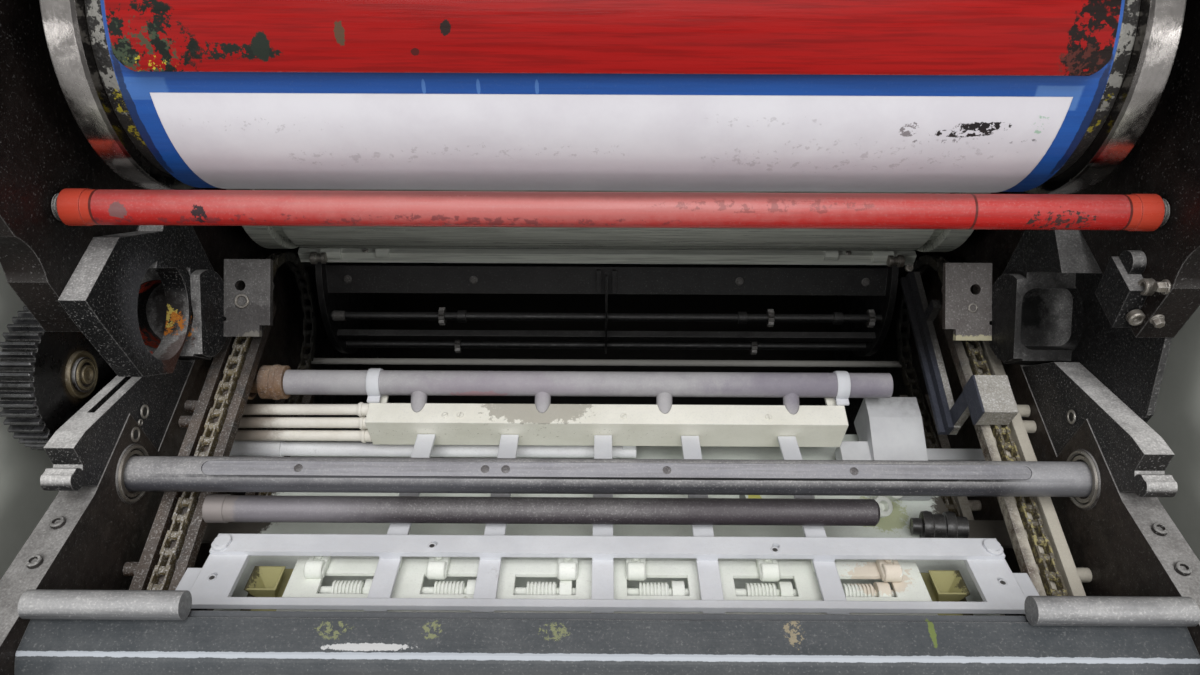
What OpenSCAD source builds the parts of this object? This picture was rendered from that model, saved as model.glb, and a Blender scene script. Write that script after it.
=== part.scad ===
// Last printing unit and open delivery bay of a sheet-fed offset press.
// X runs across the press, +Y goes from the operator towards the cylinders, Z is up from the floor.

/* [Frame] */
// Clear width between the two side frames
frame_gap = 940; // [920:2:980]
// Thickness of one cast side frame
frame_t = 34; // [28:1:40]
// Front face of the side frames, seen from the blanket cylinder's origin line
front_y = -450; // [-470:1:-446]
// Rear face of the side frames
rear_y = 450; // [446:1:480]
// Height of the frames' top edge beside the delivery bay
deck_z = 960; // [955:1:964]
// Height of the frames' top edge at the operator's end
front_deck_z = 1000; // [996:1:1010]
// Height of the ledge under the bearing blocks
ledge_z = 890; // [886:1:893]
// Height of metal above the blanket cylinder's bearer rings in the tall part of the frames
top_gap = 25; // [20:1:55]
// Height of the base sills, feet included
base_h = 60; // [50:1:80]
// Distance from a side frame's outer face to the outer cover
cover_gap = 60; // [56:1:70]
// Thickness of an outer cover panel
cover_t = 15; // [8:1:20]
// Height of the closed housing over the frames
housing_h = 240; // [200:5:300]

/* [Cylinders] */
// Radius of the polished bearer rings
bearer_r = 144; // [142:0.5:145]
// Gap between a bearer ring and the side frame
ring_gap = 38; // [34:1:46]
// Width of one bearer ring
ring_w = 27; // [20:1:32]
// Width of the groove between a bearer ring and the cylinder body
groove_w = 18; // [10:1:24]
// Depth of the blanket cylinder's bare body below the bearer rings' surface
body_undercut = 4; // [3.5:0.1:6]
// Thickness of the rubber blanket
blanket_t = 1.95; // [1.5:0.05:2.2]
// Distance from the blanket's end to the white sheet that lies on it
sheet_inset = 23; // [15:1:90]
// Thickness of the white sheet
sheet_t = 0.6; // [0.4:0.1:1]
// Height of the blanket cylinder's axis
blanket_z = 1231; // [1228:1:1240]
// Distance of the blanket cylinder's axis behind the origin line
blanket_y = 67; // [60:1:72]
// Radius of the cylinder journals in the side frames
journal_r = 45; // [35:1:50]
// Gap between the two cylinders while they are thrown off
throw_off = 5; // [5:0.5:8]
// Radial clearance of a running journal
running_fit = 0.08; // [0.05:0.01:0.1]

/* [Guards] */
// Distance from the blanket's end to the red guard's end
guard_inset = 10; // [2:1:30]
// Thickness of the red guard
guard_t = 4; // [3:0.5:6]
// Gap between the guard and the blanket
guard_gap = 9; // [7:0.5:12]
// Radius of the red safety bar
bar_r = 15; // [12:0.5:17]
// Gap between the red safety bar's end cap and the side frame
bar_gap = 8; // [5:1:30]

/* [Delivery drum] */
// Radius of the drum's end discs
disc_r = 144; // [140:1:145]
// Gap between a drum disc and the side frame
drum_gap = 61; // [60:1:80]
// Radius of the drum shaft and its journals
drum_shaft_r = 25; // [18:1:30]
// Radius of the star wheel rods
rod_r = 6; // [4:0.5:8]
// Number of points on a star wheel
star_points = 12; // [8:1:16]

/* [Chains] */
// Distance of each chain from the side frame
chain_gap = 40; // [38:1:42]
// Radius of the chain's turn at the rear sprocket
rear_turn_r = 99; // [97:1:100]
// Radius of the chain's turn at the front sprocket
front_turn_r = 88; // [86:1:89]
// Number of links in one chain loop
chain_links = 76; // [72:2:80]

/* [Delivery bay] */
// Radius of the slotted cross shaft
shaft_r = 17.3; // [16:0.1:18]
// Width of the slot along the cross shaft
slot_w = 16; // [10:0.5:18]
// Radius of the lower cross shaft
lower_shaft_r = 13.5; // [11:0.5:14]
// Distance from the slatted guide frame's rails to the side frames
ladder_gap = 81; // [78:1:90]
// Thickness of the slatted guide frame
ladder_t = 6; // [4:0.5:8]
// Radius of the white air tube
tube_r = 15; // [12:0.5:16]
// Distance from the cream air box's ends to the side frames
box_gap = 188; // [180:2:220]
// Outer radius of an air hose
hose_r = 6.5; // [5:0.5:7]

/* [Idler gear] */
// Number of teeth on the idler gear
gear_teeth = 48; // [40:1:56]
// Outer radius of the idler gear
gear_r = 73; // [70:1:76]
// Face width of the idler gear
gear_w = 32; // [24:1:34]

/* [Hidden] */
$fn = 64;

// Gap between pieces that are seated against each other
seat = 0.3;
frame_x = frame_gap / 2;
outer_x = frame_x + frame_t;
cover_x = outer_x + cover_gap;
bearer_w = frame_gap - 2 * ring_gap;
body_w = bearer_w - 2 * (ring_w + groove_w);
sheet_w = body_w - 2 * sheet_inset;
guard_w = body_w - 2 * guard_inset;
drum_w = frame_gap - 2 * drum_gap;
chain_x = frame_x - chain_gap;
ladder_w = frame_gap - 2 * ladder_gap;
box_w = frame_gap - 2 * box_gap;

// Axes of the running cylinders
cylinder_step = 2 * bearer_r + throw_off;
impression_y = blanket_y + cylinder_step * cos(54.9);
impression_z = blanket_z - cylinder_step * sin(54.9);
drum_step = bearer_r + disc_r + 6.5;
drum_y = impression_y + drum_step * cos(78);
drum_z = impression_z - drum_step * sin(78);
body_r = bearer_r - body_undercut;
blanket_r = body_r + 0.1 + blanket_t;
frame_top_z = blanket_z + bearer_r + top_gap;

// Slot in the frames' front, between the deck and the nose that holds the safety bar
notch_y = 25;
notch_z = 1070;
nose_y = -160;
nose_z = 1215;
safety_y = -101;
safety_z = 1165;

// Chain loop: both turns and the slope of its upper run
front_turn = [-330, 876 - front_turn_r];
rear_turn = [92, 786];
run_step = rear_turn - front_turn;
run_len = norm(run_step);
run_angle = atan2(run_step[1], run_step[0]);
turn_slope = asin((rear_turn_r - front_turn_r) / run_len);
chain_half = 7.5;
plate_mid = 5.5;
plate_in = 3.5;
chain_thick = 12;
upper_angle = run_angle + turn_slope;
lower_angle = run_angle - turn_slope;
run_flat = run_len * cos(turn_slope);
rear_pitch_r = rear_turn_r - chain_thick / 2;
front_pitch_r = front_turn_r - chain_thick / 2;
rear_arc = rear_pitch_r * (180 + 2 * turn_slope) * PI / 180;
front_arc = front_pitch_r * (180 - 2 * turn_slope) * PI / 180;
loop_len = 2 * run_flat + rear_arc + front_arc;
rail_half = 22;

// Delivery bay axes, as Y and Z
shaft_at = [-215, 918];
lower_shaft_at = [-227, 870];
tube_at = [-38, 834];
support_at = [-82, 756];
// Turn of the slot about the cross shaft, towards the front
slot_turn = 7;
gear_at = [-151, 995];
arm_x = [frame_x + 1, outer_x - 6 - seat];
step_y = -172;
foot_h = 20;
foot_r = 38;
beam_z = 972;
beam_h = 44;
beam_rear_y = -381;
corner_r = 11.5;
corner_len = 128;
block_x = [frame_x - 24, outer_x];
barrel_x = [frame_x - 34, outer_x + 23];
barrel_r = 48;
face_z = 22.5;
pocket_depth = 44;
pocket_at = [-32, 951];
pocket_r = 37;
plate_x = frame_x - 87;
gripper_at = [187, 826];
guard_end = 160.5;
guard_corner = 24;
// How far the guard's corner rounding reaches past the guard's edges
corner_past = 2;
// Angle and circle radius of each star wheel rod on the drum
rods = [[172.7, disc_r - 16], [211, disc_r - rod_r - 8]];
beam_angle = 146.5;
strip_angle = 190.4;
rear_bar_at = [drum_y, drum_z] + (disc_r + 12) * turn_dir(220);
box_y = [-90, -62];
box_z = [779, 826];
coupling_len = 87;
tube_gap = 132;
ladder_front = [-340, 888];
ladder_slope = 19;
slat_x = [-0.274, -0.147, -0.005, 0.127, 0.274] * ladder_w;
slat_len = 262;
window_x = [-0.321, -0.193, -0.077, 0.064, 0.199, 0.321] * ladder_w;
channel_half = 0.4 * ladder_w;
neck_r = 118;
duct_x = frame_x - 152;
cam_x = frame_x - 78;

module x_rod(x0, x1, at, r) {
  translate([x0, at[0], at[1]]) rotate([0, 90, 0]) cylinder(h = x1 - x0, r = r);
}

// Round bar from point p to point q
module rod_between(p, q, r) {
  d = q - p;
  translate(p) rotate([0, acos(d[2] / norm(d)), atan2(d[1], d[0])]) cylinder(h = norm(d), r = r);
}

// Extrudes a Y-Z outline along X from x0 to x1
module across(x0, x1) {
  translate([x0, 0, 0]) rotate([90, 0, 90]) linear_extrude(x1 - x0) children();
}

module block(x, y, z) {
  translate([x[0], y[0], z[0]]) cube([x[1] - x[0], y[1] - y[0], z[1] - z[0]]);
}

module ring_2d(r_out, r_in) {
  difference() {
    circle(r_out);
    circle(r_in);
  }
}

// Side frames: tall at the cylinders, low at the delivery bay
module frame_outline() {
  difference() {
    polygon([
      [front_y, base_h], [front_y, front_deck_z], [step_y - 90, deck_z], [step_y, deck_z],
      [step_y, ledge_z], [notch_y, ledge_z], [notch_y, notch_z],
      [nose_y, notch_z], [nose_y, nose_z], [-60, frame_top_z], [rear_y, frame_top_z],
      [rear_y, base_h]]);
    translate([nose_y - 45, 1160]) circle(52);
    translate([blanket_y, blanket_z]) circle(journal_r + running_fit);
    translate([impression_y, impression_z]) circle(journal_r + running_fit);
    translate([drum_y, drum_z]) circle(drum_shaft_r + running_fit);
    translate(shaft_at) circle(shaft_r + 0.05);
  }
}

module side_frame() {
  across(frame_x, outer_x) frame_outline();
  // Raised ring round the cross shaft
  across(frame_x - 2, frame_x + 1) translate(shaft_at) ring_2d(shaft_r + 12, shaft_r + 6);
  // Flanges that carry the outer cover
  block([outer_x - 1, cover_x - seat], [front_y, front_y + 18], [base_h, front_deck_z - 6]);
  block([outer_x - 1, cover_x - seat], [rear_y - 18, rear_y], [base_h, frame_top_z - 100]);
}

module left_side_frame() {
  color("dimgray") mirror([1, 0, 0]) side_frame();
}

module right_side_frame() {
  color("dimgray") side_frame();
}

// Sills under both frames, tied across the floor and standing on six feet
module base_frame() {
  color("slategray") {
    for (side = [-1, 1]) {
      x0 = side * (frame_x + frame_t / 2) - 45;
      block([x0, x0 + 90], [front_y, rear_y], [foot_h, base_h]);
      for (y = [front_y + 60, (front_y + rear_y) / 2, rear_y - 60])
        translate([x0 + 45, y, 0]) cylinder(h = foot_h + 1, r = foot_r);
    }
    for (y = [front_y + 10, 60, rear_y - 90])
      block([-frame_x, frame_x], [y, y + 80], [foot_h, base_h]);
  }
}

// Plain plate that closes the bay towards the operator
module front_panel() {
  color("silver") block([seat - frame_x, frame_x - seat], [front_y, front_y + 10], [base_h, beam_z - beam_h]);
}

// Painted beam across the front of the bay
module front_crossbeam() {
  color("darkslategray") across(seat - frame_x, frame_x - seat)
    polygon([
      [front_y, beam_z - beam_h + seat], [front_y, beam_z - 30], [front_y + 34, beam_z - 3],
      [front_y + 39, beam_z], [beam_rear_y, beam_z], [beam_rear_y, beam_z - 4],
      [beam_rear_y + 7, beam_z - 4], [beam_rear_y + 7, beam_z - 16], [beam_rear_y - 6, beam_z - 20],
      [beam_rear_y - 6, beam_z - beam_h + seat]]);
}

// Closed housing over the tall part of the frames
module upper_housing() {
  color("gainsboro") across(-outer_x, outer_x)
    polygon([
      [-60, frame_top_z], [-60, frame_top_z + housing_h - 60], [0, frame_top_z + housing_h],
      [rear_y - 40, frame_top_z + housing_h], [rear_y, frame_top_z + housing_h - 40],
      [rear_y, frame_top_z]]);
}

module rear_cover() {
  color("gainsboro") block([seat - frame_x, frame_x - seat], [rear_y - 4, rear_y - 1], [base_h, frame_top_z]);
}

module outer_cover() {
  across(cover_x, cover_x + cover_t)
    polygon([
      [front_y, base_h + 10], [front_y, 1110], [front_y + 40, 1150], [-240, 1150], [-120, 1330],
      [rear_y, 1330], [rear_y, base_h + 10]]);
}

module left_outer_cover() {
  color("gainsboro") mirror([1, 0, 0]) outer_cover();
}

module right_outer_cover() {
  color("gainsboro") outer_cover();
}

// Curved guard in front of the nip, hung from the housing by its upper flange
module cylinder_guard() {
  guard_r = blanket_r + guard_gap;
  flange_y = blanket_y + (guard_r + guard_t) * cos(98);
  flange_z = blanket_z + (guard_r + guard_t / 2) * sin(98);
  corner_x = guard_w / 2 - guard_corner + corner_past;
  corner_z = guard_r * sin(guard_end - 156) - guard_corner + corner_past;
  color("firebrick") difference() {
    across(-guard_w / 2, guard_w / 2) {
      intersection() {
        translate([blanket_y, blanket_z]) ring_2d(guard_r + guard_t, guard_r);
        translate([blanket_y, blanket_z])
          polygon([[0, 0], for (i = [0 : 5]) 400 * turn_dir(94 + i * (guard_end - 94) / 5)]);
      }
      translate([flange_y, flange_z]) square([guard_t, frame_top_z - flange_z]);
    }
    for (side = [0, 1]) mirror([side, 0, 0])
      translate([corner_x, blanket_y, blanket_z]) rotate([156, 0, 0])
        translate([0, guard_r - 20, corner_z]) rotate([-90, 0, 0]) linear_extrude(40) difference() {
          translate([0, -guard_corner - 30]) square([guard_corner + 5, guard_corner + 30]);
          circle(guard_corner);
        }
  }
}

// Red round bar with end caps and a stud into each frame
module safety_bar() {
  half = frame_x - bar_gap;
  at = [safety_y, safety_z];
  color("orangered") {
    x_rod(-half, half, at, bar_r);
    for (side = [-1, 1]) {
      x0 = side > 0 ? half - 18 : -half;
      x_rod(x0, x0 + 18, at, bar_r + 0.8);
      x1 = side > 0 ? half : -frame_x;
      x_rod(x1, x1 + frame_x - half, at, 8);
    }
  }
}

// Bearing block: a barrel with a slanted face, on a plate that closes the frame's notch.
// Its children are the outline of the pocket that is sunk into the slanted face.
module bearing_block() {
  difference() {
    union() {
      x_rod(barrel_x[0], barrel_x[1], pocket_at, barrel_r);
      across(block_x[0], block_x[1]) polygon([
        [notch_y - seat, ledge_z + seat], [notch_y - seat, notch_z - seat], [-17, notch_z - seat],
        [-112, notch_z - 40], [-88, ledge_z + 58], [-50, ledge_z + seat]]);
    }
    translate([(barrel_x[0] + barrel_x[1]) / 2, pocket_at[0], pocket_at[1]]) rotate([45, 0, 0]) {
      translate([-80, -50, face_z]) cube([160, 100, 200]);
      translate([0, 0, face_z - pocket_depth]) linear_extrude(pocket_depth + 1) children();
    }
    block([block_x[0] - 1, frame_x], [-120, notch_y + 1], [ledge_z - 20, ledge_z + 10]);
  }
}

// Left block with a round pocket, and the upper casting whose level top stands beside the frame's nose
module left_bearing_block() {
  color("darkslategray") mirror([1, 0, 0]) {
    bearing_block() circle(pocket_r);
    across(block_x[0], frame_x - seat) difference() {
      polygon([
        [-22, 960], [-17, 1023], [-24, 1066], [-85, 1115], [nose_y - 3, 1115], [nose_y - 3, 1088],
        [nose_y + 3, 1000], [-120, 958]]);
      translate([-82, 1012]) circle(50);
      translate(pocket_at) rotate(45) translate([-50, -20]) square([100, face_z + 20]);
    }
  }
}

// Right block with a rounded square pocket, the side plate behind it and the black stop on the frame
module right_bearing_block() {
  color("darkslategray") {
    bearing_block() for (x = [-24, 24]) {
      for (y = [-18, 18]) translate([x, y]) circle(15);
      translate([x - 15, -18]) square([30, 36]);
      translate([-24, -33]) square([48, 66]);
    }
    across(outer_x - 6, outer_x) difference() {
      polygon([
        [notch_y - seat, notch_z - seat], [nose_y + 2, notch_z - seat], [-197, 1003],
        [-197, deck_z + seat], [step_y + seat, deck_z + seat], [step_y + seat, ledge_z + seat],
        [notch_y - seat, ledge_z + seat]]);
      translate(pocket_at) circle(barrel_r - 6);
    }
    across(block_x[0] + 6, frame_x - seat)
      polygon([[-150, notch_z + 2], [-108, notch_z + 2], [-100, notch_z + 42], [-142, notch_z + 42]]);
    x_rod(block_x[0] + 12, frame_x - seat, [-112, notch_z + 46], 11);
  }
}

// Bracket arm that rises from the bearing block over the frame's top edge
module bracket_arm(slotted) {
  difference() {
    across(arm_x[0], arm_x[1]) difference() {
      union() {
        polygon([
          [step_y + seat, ledge_z + seat], [-52.5, ledge_z + seat], [-90.5, 947], [-225, 1008], [-246, 1013],
          [-250, 992], [-264, 980], [-254, deck_z + seat], [step_y + seat, deck_z + seat]]);
        translate([-264, 990]) circle(10);
      }
      translate([-260, 1009]) circle(11);
    }
    if (slotted) block([arm_x[0] + 10, arm_x[1] - 10], [-195, -110], [925, 1020]);
  }
}

module left_bracket_arm() {
  color("dimgray") mirror([1, 0, 0]) bracket_arm(true);
}

module right_bracket_arm() {
  color("dimgray") bracket_arm(false);
}

// Plate beside the bearing block that leans towards the operator, with one bored hole
module mounting_plate() {
  translate([0, 5, 936]) rotate([40, 0, 0]) difference() {
    union() {
      translate([plate_x, -44, -4]) cube([barrel_x[0] - seat - plate_x, 88, 8]);
      translate([barrel_x[0] - seat - 10, -44, -22]) cube([10, 88, 20]);
      translate([plate_x + 8, 14, -8]) cylinder(h = 6, r = 8);
    }
    translate([plate_x + 34, 14, -10]) cylinder(h = 20, r = 6);
    translate([plate_x + 52, -24, -10]) cylinder(h = 20, r = 2.5);
    translate([plate_x - 1, -45, -10]) cube([13, 14, 20]);
  }
}

module left_mounting_plate() {
  color("gray") mirror([1, 0, 0]) mounting_plate();
}

module right_mounting_plate() {
  color("gray") mounting_plate();
}

// Moves its children to the start of a chain run, with the run along +Y
module upper_run() {
  translate([0, front_turn[0], front_turn[1]]) rotate([upper_angle, 0, 0]) children();
}

module lower_run() {
  translate([0, front_turn[0], front_turn[1]]) rotate([lower_angle, 0, 0]) children();
}

// Channel that one run of the chain lies in, as an X-Z section
module rail_section(bed, inner_h, outer_h) {
  translate([chain_x - rail_half, bed - 4]) square([2 * rail_half + 2, 4]);
  translate([chain_x - rail_half, bed - 4]) square([10, inner_h]);
  translate([chain_x + rail_half - 10, bed - 4]) square([12, outer_h]);
}

module rail_run(bed, inner_h, outer_h) {
  translate([0, run_len - 40, 0]) rotate([90, 0, 0])
    linear_extrude(run_len - 40) rail_section(bed, inner_h, outer_h);
  for (y = [40, run_len / 2, run_len - 190])
    translate([chain_x + rail_half + 1, y, bed + 2]) rotate([0, 90, 0])
      cylinder(h = frame_x - chain_x - rail_half - 1 - seat, r = 7);
}

module chain_rail() {
  upper_run() rail_run(front_turn_r - chain_thick - seat, 14, 17);
  lower_run() rail_run(-front_turn_r - seat, 12, 14);
}

module left_chain_rail() {
  color("tan") mirror([1, 0, 0]) chain_rail();
}

module right_chain_rail() {
  color("tan") chain_rail();
}

function turn_dir(a) = [cos(a), sin(a)];

// Point of the chain's pitch line at a distance along the loop, from the start of the upper run
function chain_at(s) =
  s < run_flat ? front_turn + front_pitch_r * turn_dir(upper_angle + 90) + s * turn_dir(upper_angle) :
  s < run_flat + rear_arc ?
    rear_turn + rear_pitch_r * turn_dir(upper_angle + 90 - (s - run_flat) / rear_pitch_r * 180 / PI) :
  s < 2 * run_flat + rear_arc ?
    rear_turn + rear_pitch_r * turn_dir(lower_angle - 90)
      - (s - run_flat - rear_arc) * turn_dir(lower_angle) :
    front_turn + front_pitch_r
      * turn_dir(lower_angle - 90 - (s - 2 * run_flat - rear_arc) / front_pitch_r * 180 / PI);

// Outline of one link plate between two pins
function link_plate(p, q) = let (u = (q - p) / norm(q - p), v = [-u[1], u[0]] * chain_thick / 2)
  [p - 6 * u, p - 3 * u + v, q + 3 * u + v, q + 6 * u, q + 3 * u - v, p - 3 * u - v];

// Rollers between pairs of inner and outer plates, all the way round the loop
module chain() {
  pins = [for (i = [0 : chain_links]) chain_at(i % chain_links * loop_len / chain_links)];
  across(chain_x - plate_in, chain_x + plate_in)
    for (i = [0 : chain_links - 1]) translate(pins[i]) circle(r = 4.5, $fn = 8);
  for (side = [-1, 1]) {
    inner_x = side > 0 ? chain_x + plate_in : chain_x - plate_mid;
    outer_side_x = side > 0 ? chain_x + plate_mid : chain_x - chain_half;
    across(inner_x, inner_x + plate_mid - plate_in)
      for (i = [0 : 2 : chain_links - 1]) polygon(link_plate(pins[i], pins[i + 1]));
    across(outer_side_x, outer_side_x + chain_half - plate_mid)
      for (i = [1 : 2 : chain_links - 1]) polygon(link_plate(pins[i], pins[i + 1]));
  }
}

module left_chain() {
  color("darkkhaki") mirror([1, 0, 0]) chain();
}

module right_chain() {
  color("darkkhaki") chain();
}

// Gripper bar between the chains, resting at the rear turn
module gripper_bar() {
  half = chain_x - chain_half - seat;
  color("silver") {
    block([-half, half], [gripper_at[0] - 5, gripper_at[0] + 5], [gripper_at[1] - 9, gripper_at[1] + 9]);
    for (x = [45 - half, half - 45]) x_rod(x - 14, x + 14, gripper_at + [0, 4], 9);
    for (x = [116 - half, half - 116]) x_rod(x - 9, x + 9, gripper_at + [0, 6], 8);
  }
}

// Delivery drum: shaft, end discs, flat beams and rods
module delivery_drum() {
  at = [drum_y, drum_z];
  half = drum_w / 2;
  color("darkslategray") {
    x_rod(-outer_x + 4, outer_x - 4, at, drum_shaft_r);
    for (side = [-1, 1])
      across(side * half - (side > 0 ? 9 : 0), side * half + (side > 0 ? 0 : 9))
        translate(at) circle(disc_r);
    across(-1.5, 1.5) translate(at) difference() {
      intersection() {
        circle(disc_r - 2);
        polygon([[0, 0], for (a = [beam_angle - 4, 175, 205, 232]) 300 * turn_dir(a)]);
      }
      circle(disc_r - 50);
    }
    for (x = [-14, 8])
      across(x, x + 6) translate(at) rotate(beam_angle) translate([disc_r - 21, -16]) square([8, 32]);
    for (a = [beam_angle, beam_angle + 180])
      across(1 - half, half - 1) translate(at) rotate(a) translate([disc_r - 30, -20]) square([10, 40]);
    for (rod = rods) x_rod(1 - half, half - 1, at + rod[1] * turn_dir(rod[0]), rod_r);
    for (x = [-210, 198, 337]) x_rod(x - 6, x + 6, at + rods[0][1] * turn_dir(rods[0][0]), rod_r + 3);
    across(1 - half, half - 1)
      translate(at) rotate(strip_angle) translate([disc_r - 18, -6]) square([10, 12]);
  }
}

// One star wheel on a drum rod
module star_2d(r_out, r_in) {
  difference() {
    polygon([for (i = [0 : 2 * star_points - 1])
      (i % 2 == 0 ? r_out : r_out - 4) * turn_dir(i * 180 / star_points)]);
    circle(r_in);
  }
}

module star_wheels() {
  at = [drum_y, drum_z];
  color("gray") for (i = [0, 1], x = i == 0 ? [-239, 239, drum_w / 2 - 24] : [-228, 228])
    across(x - 4, x + 4) translate(at + rods[i][1] * turn_dir(rods[i][0])) star_2d(13.5, rod_r + 0.1);
}

// White air tube with its four outlet posts
module air_tube() {
  color("white") {
    x_rod(coupling_len - frame_x, frame_x - tube_gap, tube_at, tube_r);
    difference() {
      for (x = [-0.397, -0.135, 0.122, 0.39] * box_w)
        translate([x, tube_at[0], tube_at[1]]) rotate([116, 0, 0]) cylinder(h = 42, r = 9.5);
      block([-box_w / 2, box_w / 2], box_y + [-40, seat], box_z + [-40, seat]);
    }
  }
}

// Rubber coupling and flange that join the tube to the left frame
module tube_coupling() {
  color("peru") {
    x_rod(coupling_len - 29 - frame_x, coupling_len - seat - frame_x, tube_at, tube_r + 5);
    x_rod(seat - frame_x, coupling_len - 29 - frame_x, tube_at, tube_r - 2);
    x_rod(seat - frame_x, 12 - frame_x, tube_at, tube_r + 8);
  }
}

// Cream box below the tube, with its carrying straps
module air_box() {
  color("cornsilk") {
    block([-box_w / 2, box_w / 2], box_y, box_z);
    for (x = [-box_w / 2 + 2, box_w / 2 - 18])
      block([x, x + 16], [box_y[1] - 1, tube_at[0] + 4], [box_z[1] - 12, tube_at[1] - tube_r - seat]);
  }
}

// Three hoses that drop from nipples in the end of the air box to the left frame
module air_hoses() {
  color("white") for (i = [0 : 2]) {
    box_end = [-box_w / 2 - 8, box_y[0] + 8 + 8 * i, box_z[0] + 7 + 16 * i];
    frame_end = [6 - frame_x, box_end[1] + 6, box_end[2] - 10];
    rod_between(frame_end, box_end, hose_r);
    x_rod(box_end[0] - 6, -box_w / 2 - seat, [box_end[1], box_end[2]], hose_r + 1);
    x_rod(seat - frame_x, frame_end[0] + 6, [frame_end[1], frame_end[2]], hose_r + 1);
  }
}

// White round bar below the box, and the thin pale bar below the drum
module support_bar() {
  color("white") {
    x_rod(seat - frame_x, 37, support_at, 9);
    x_rod(seat - frame_x, 70 - frame_x, support_at, 11);
    block([20, 36], [support_at[0] - 4, support_at[0] + 4], [support_at[1], box_z[0] - seat]);
    x_rod(seat - frame_x, frame_x - seat, rear_bar_at, 5);
  }
}

// Cross shaft with a slot milled along it
module slotted_shaft() {
  color("slategray") difference() {
    x_rod(-frame_x - 12, frame_x + 12, shaft_at, shaft_r);
    translate([0, shaft_at[0], shaft_at[1]]) rotate([slot_turn, 0, 0])
      slot_solid(slot_w, shaft_r + 2, shaft_r - 5);
  }
}

// Round-ended slot along X, between two heights
module slot_solid(w, z1, z0) {
  x0 = 75 - frame_x + w / 2;
  x1 = frame_x - 58 - w / 2;
  translate([0, 0, z0]) linear_extrude(z1 - z0) {
    translate([x0, -w / 2]) square([x1 - x0, w]);
    for (x = [x0, x1]) translate([x, 0]) circle(w / 2);
  }
}

// Flat strip that lies in the cross shaft's slot
module shaft_key_strip() {
  color("gray") translate([0, shaft_at[0], shaft_at[1]]) rotate([slot_turn, 0, 0])
    slot_solid(slot_w - 0.8, shaft_r - 1.6, shaft_r - 5 + 0.1);
}

// Lower cross shaft, carried by the left chain rail alone
module lower_shaft() {
  color("slategray") {
    x_rod(rail_half - chain_x + seat, frame_x - 197, lower_shaft_at, lower_shaft_r);
    x_rod(rail_half - chain_x + seat, 82 - frame_x, lower_shaft_at, lower_shaft_r + 1);
    translate([frame_x - 197, lower_shaft_at[0], lower_shaft_at[1]]) rotate([0, 90, 0])
      cylinder(h = 3, r1 = lower_shaft_r, r2 = lower_shaft_r - 3);
  }
}

// Slatted guide frame over the suction rollers
module on_ladder() {
  translate([0, ladder_front[0], ladder_front[1]]) rotate([-ladder_slope, 0, 0]) children();
}

module guide_ladder() {
  half = ladder_w / 2;
  color("whitesmoke") on_ladder() {
    linear_extrude(ladder_t) difference() {
      union() {
        translate([-half - 16, 0]) square([2 * half + 32, 9]);
        for (side = [-1, 1]) translate([side * (half - 18) - 19, 0]) square([38, 84]);
      }
      for (side = [-1, 1]) translate([side * (half - 14), 36]) circle(3);
    }
    translate([0, 0, -2]) linear_extrude(4)
      for (x = slat_x) translate([x - 10.5, 0]) square([21, slat_len]);
    translate([0, 0, ladder_t - 1]) linear_extrude(6) difference() {
      translate([-half, 62]) square([2 * half, 24]);
      for (x = [-0.22, 0.215] * ladder_w) translate([x, 74]) circle(3.5);
    }
    for (x = slat_x) translate([x - 10.5, 62, 0]) cube([21, 24, ladder_t]);
    for (side = [-1, 1]) {
      translate([side * (half - 9), 74, ladder_t + 4]) cylinder(h = 4.5, r = 8);
      translate([side * (half + 8) - 10.5, 20, -6]) cube([21, 30, 6.5]);
    }
  }
}

// Channel with windows over the suction rollers, hung under the slats, with a side panel at each end
module suction_channel() {
  color("ivory") on_ladder() {
    translate([0, 0, -30]) difference() {
      translate([-channel_half, 8, 0]) cube([2 * channel_half, 70, 16]);
      translate([4 - channel_half, 12, -1]) cube([2 * channel_half - 8, 62, 13]);
      for (x = window_x) translate([x - 30, 32, 5]) cube([60, 26, 12]);
      translate([-channel_half - 2, 40.7, -1]) cube([2 * channel_half + 4, 8.6, 11.3]);
    }
    // Stepped lip along the front of the channel
    translate([-channel_half, -6, -30]) cube([2 * channel_half, 15, 7]);
    // Olive side panels and the funnels that stand on them
    for (side = [-1, 1]) {
      x0 = side > 0 ? channel_half + 4 : -channel_half - 50;
      translate([x0, -4, -48]) cube([46, 96, 4]);
      translate([x0 + 23, 56, -45]) rotate([0, 0, 45]) difference() {
        cylinder(h = 26, r1 = 9, r2 = 22, $fn = 4);
        translate([0, 0, 4]) cylinder(h = 24, r1 = 6, r2 = 20, $fn = 4);
      }
      translate([side > 0 ? x0 - 5 : x0 + 45, 8, -48]) cube([6, 70, 18.8]);
    }
    for (x = [slat_x[0], slat_x[4]]) translate([x - 8, 62, -15]) cube([16, 14, 13 - seat]);
  }
}

// Ribbed suction rollers with their clamps, on one thin shaft
module suction_rollers() {
  color("whitesmoke") on_ladder() translate([0, 45, -24]) rotate([0, 90, 0]) {
    translate([0, 0, -channel_half - 2]) cylinder(h = 2 * channel_half + 4, r = 4);
    for (x = window_x) translate([0, 0, x - 18]) rotate_extrude()
      polygon([
        [3, 0], for (i = [0 : 7]) each [[9.5, i * 3.6], [9.5, i * 3.6 + 2.4], [8, i * 3.6 + 2.4],
        [8, i * 3.6 + 3.6]], [3, 28.8]]);
    for (x = window_x) translate([0, 0, x + 14]) cylinder(h = 12, r = 11);
  }
}

// Pale plate under the bay that guides the sheets down
module guide_plate() {
  color("honeydew") on_ladder() translate([0, 0, -66]) {
    translate([72 - frame_x, 12, 0]) cube([2 * frame_x - 144, 338, 4]);
    translate([seat - frame_x, 150, 0]) cube([2 * frame_x - 2 * seat, 40, 4]);
  }
}

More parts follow.
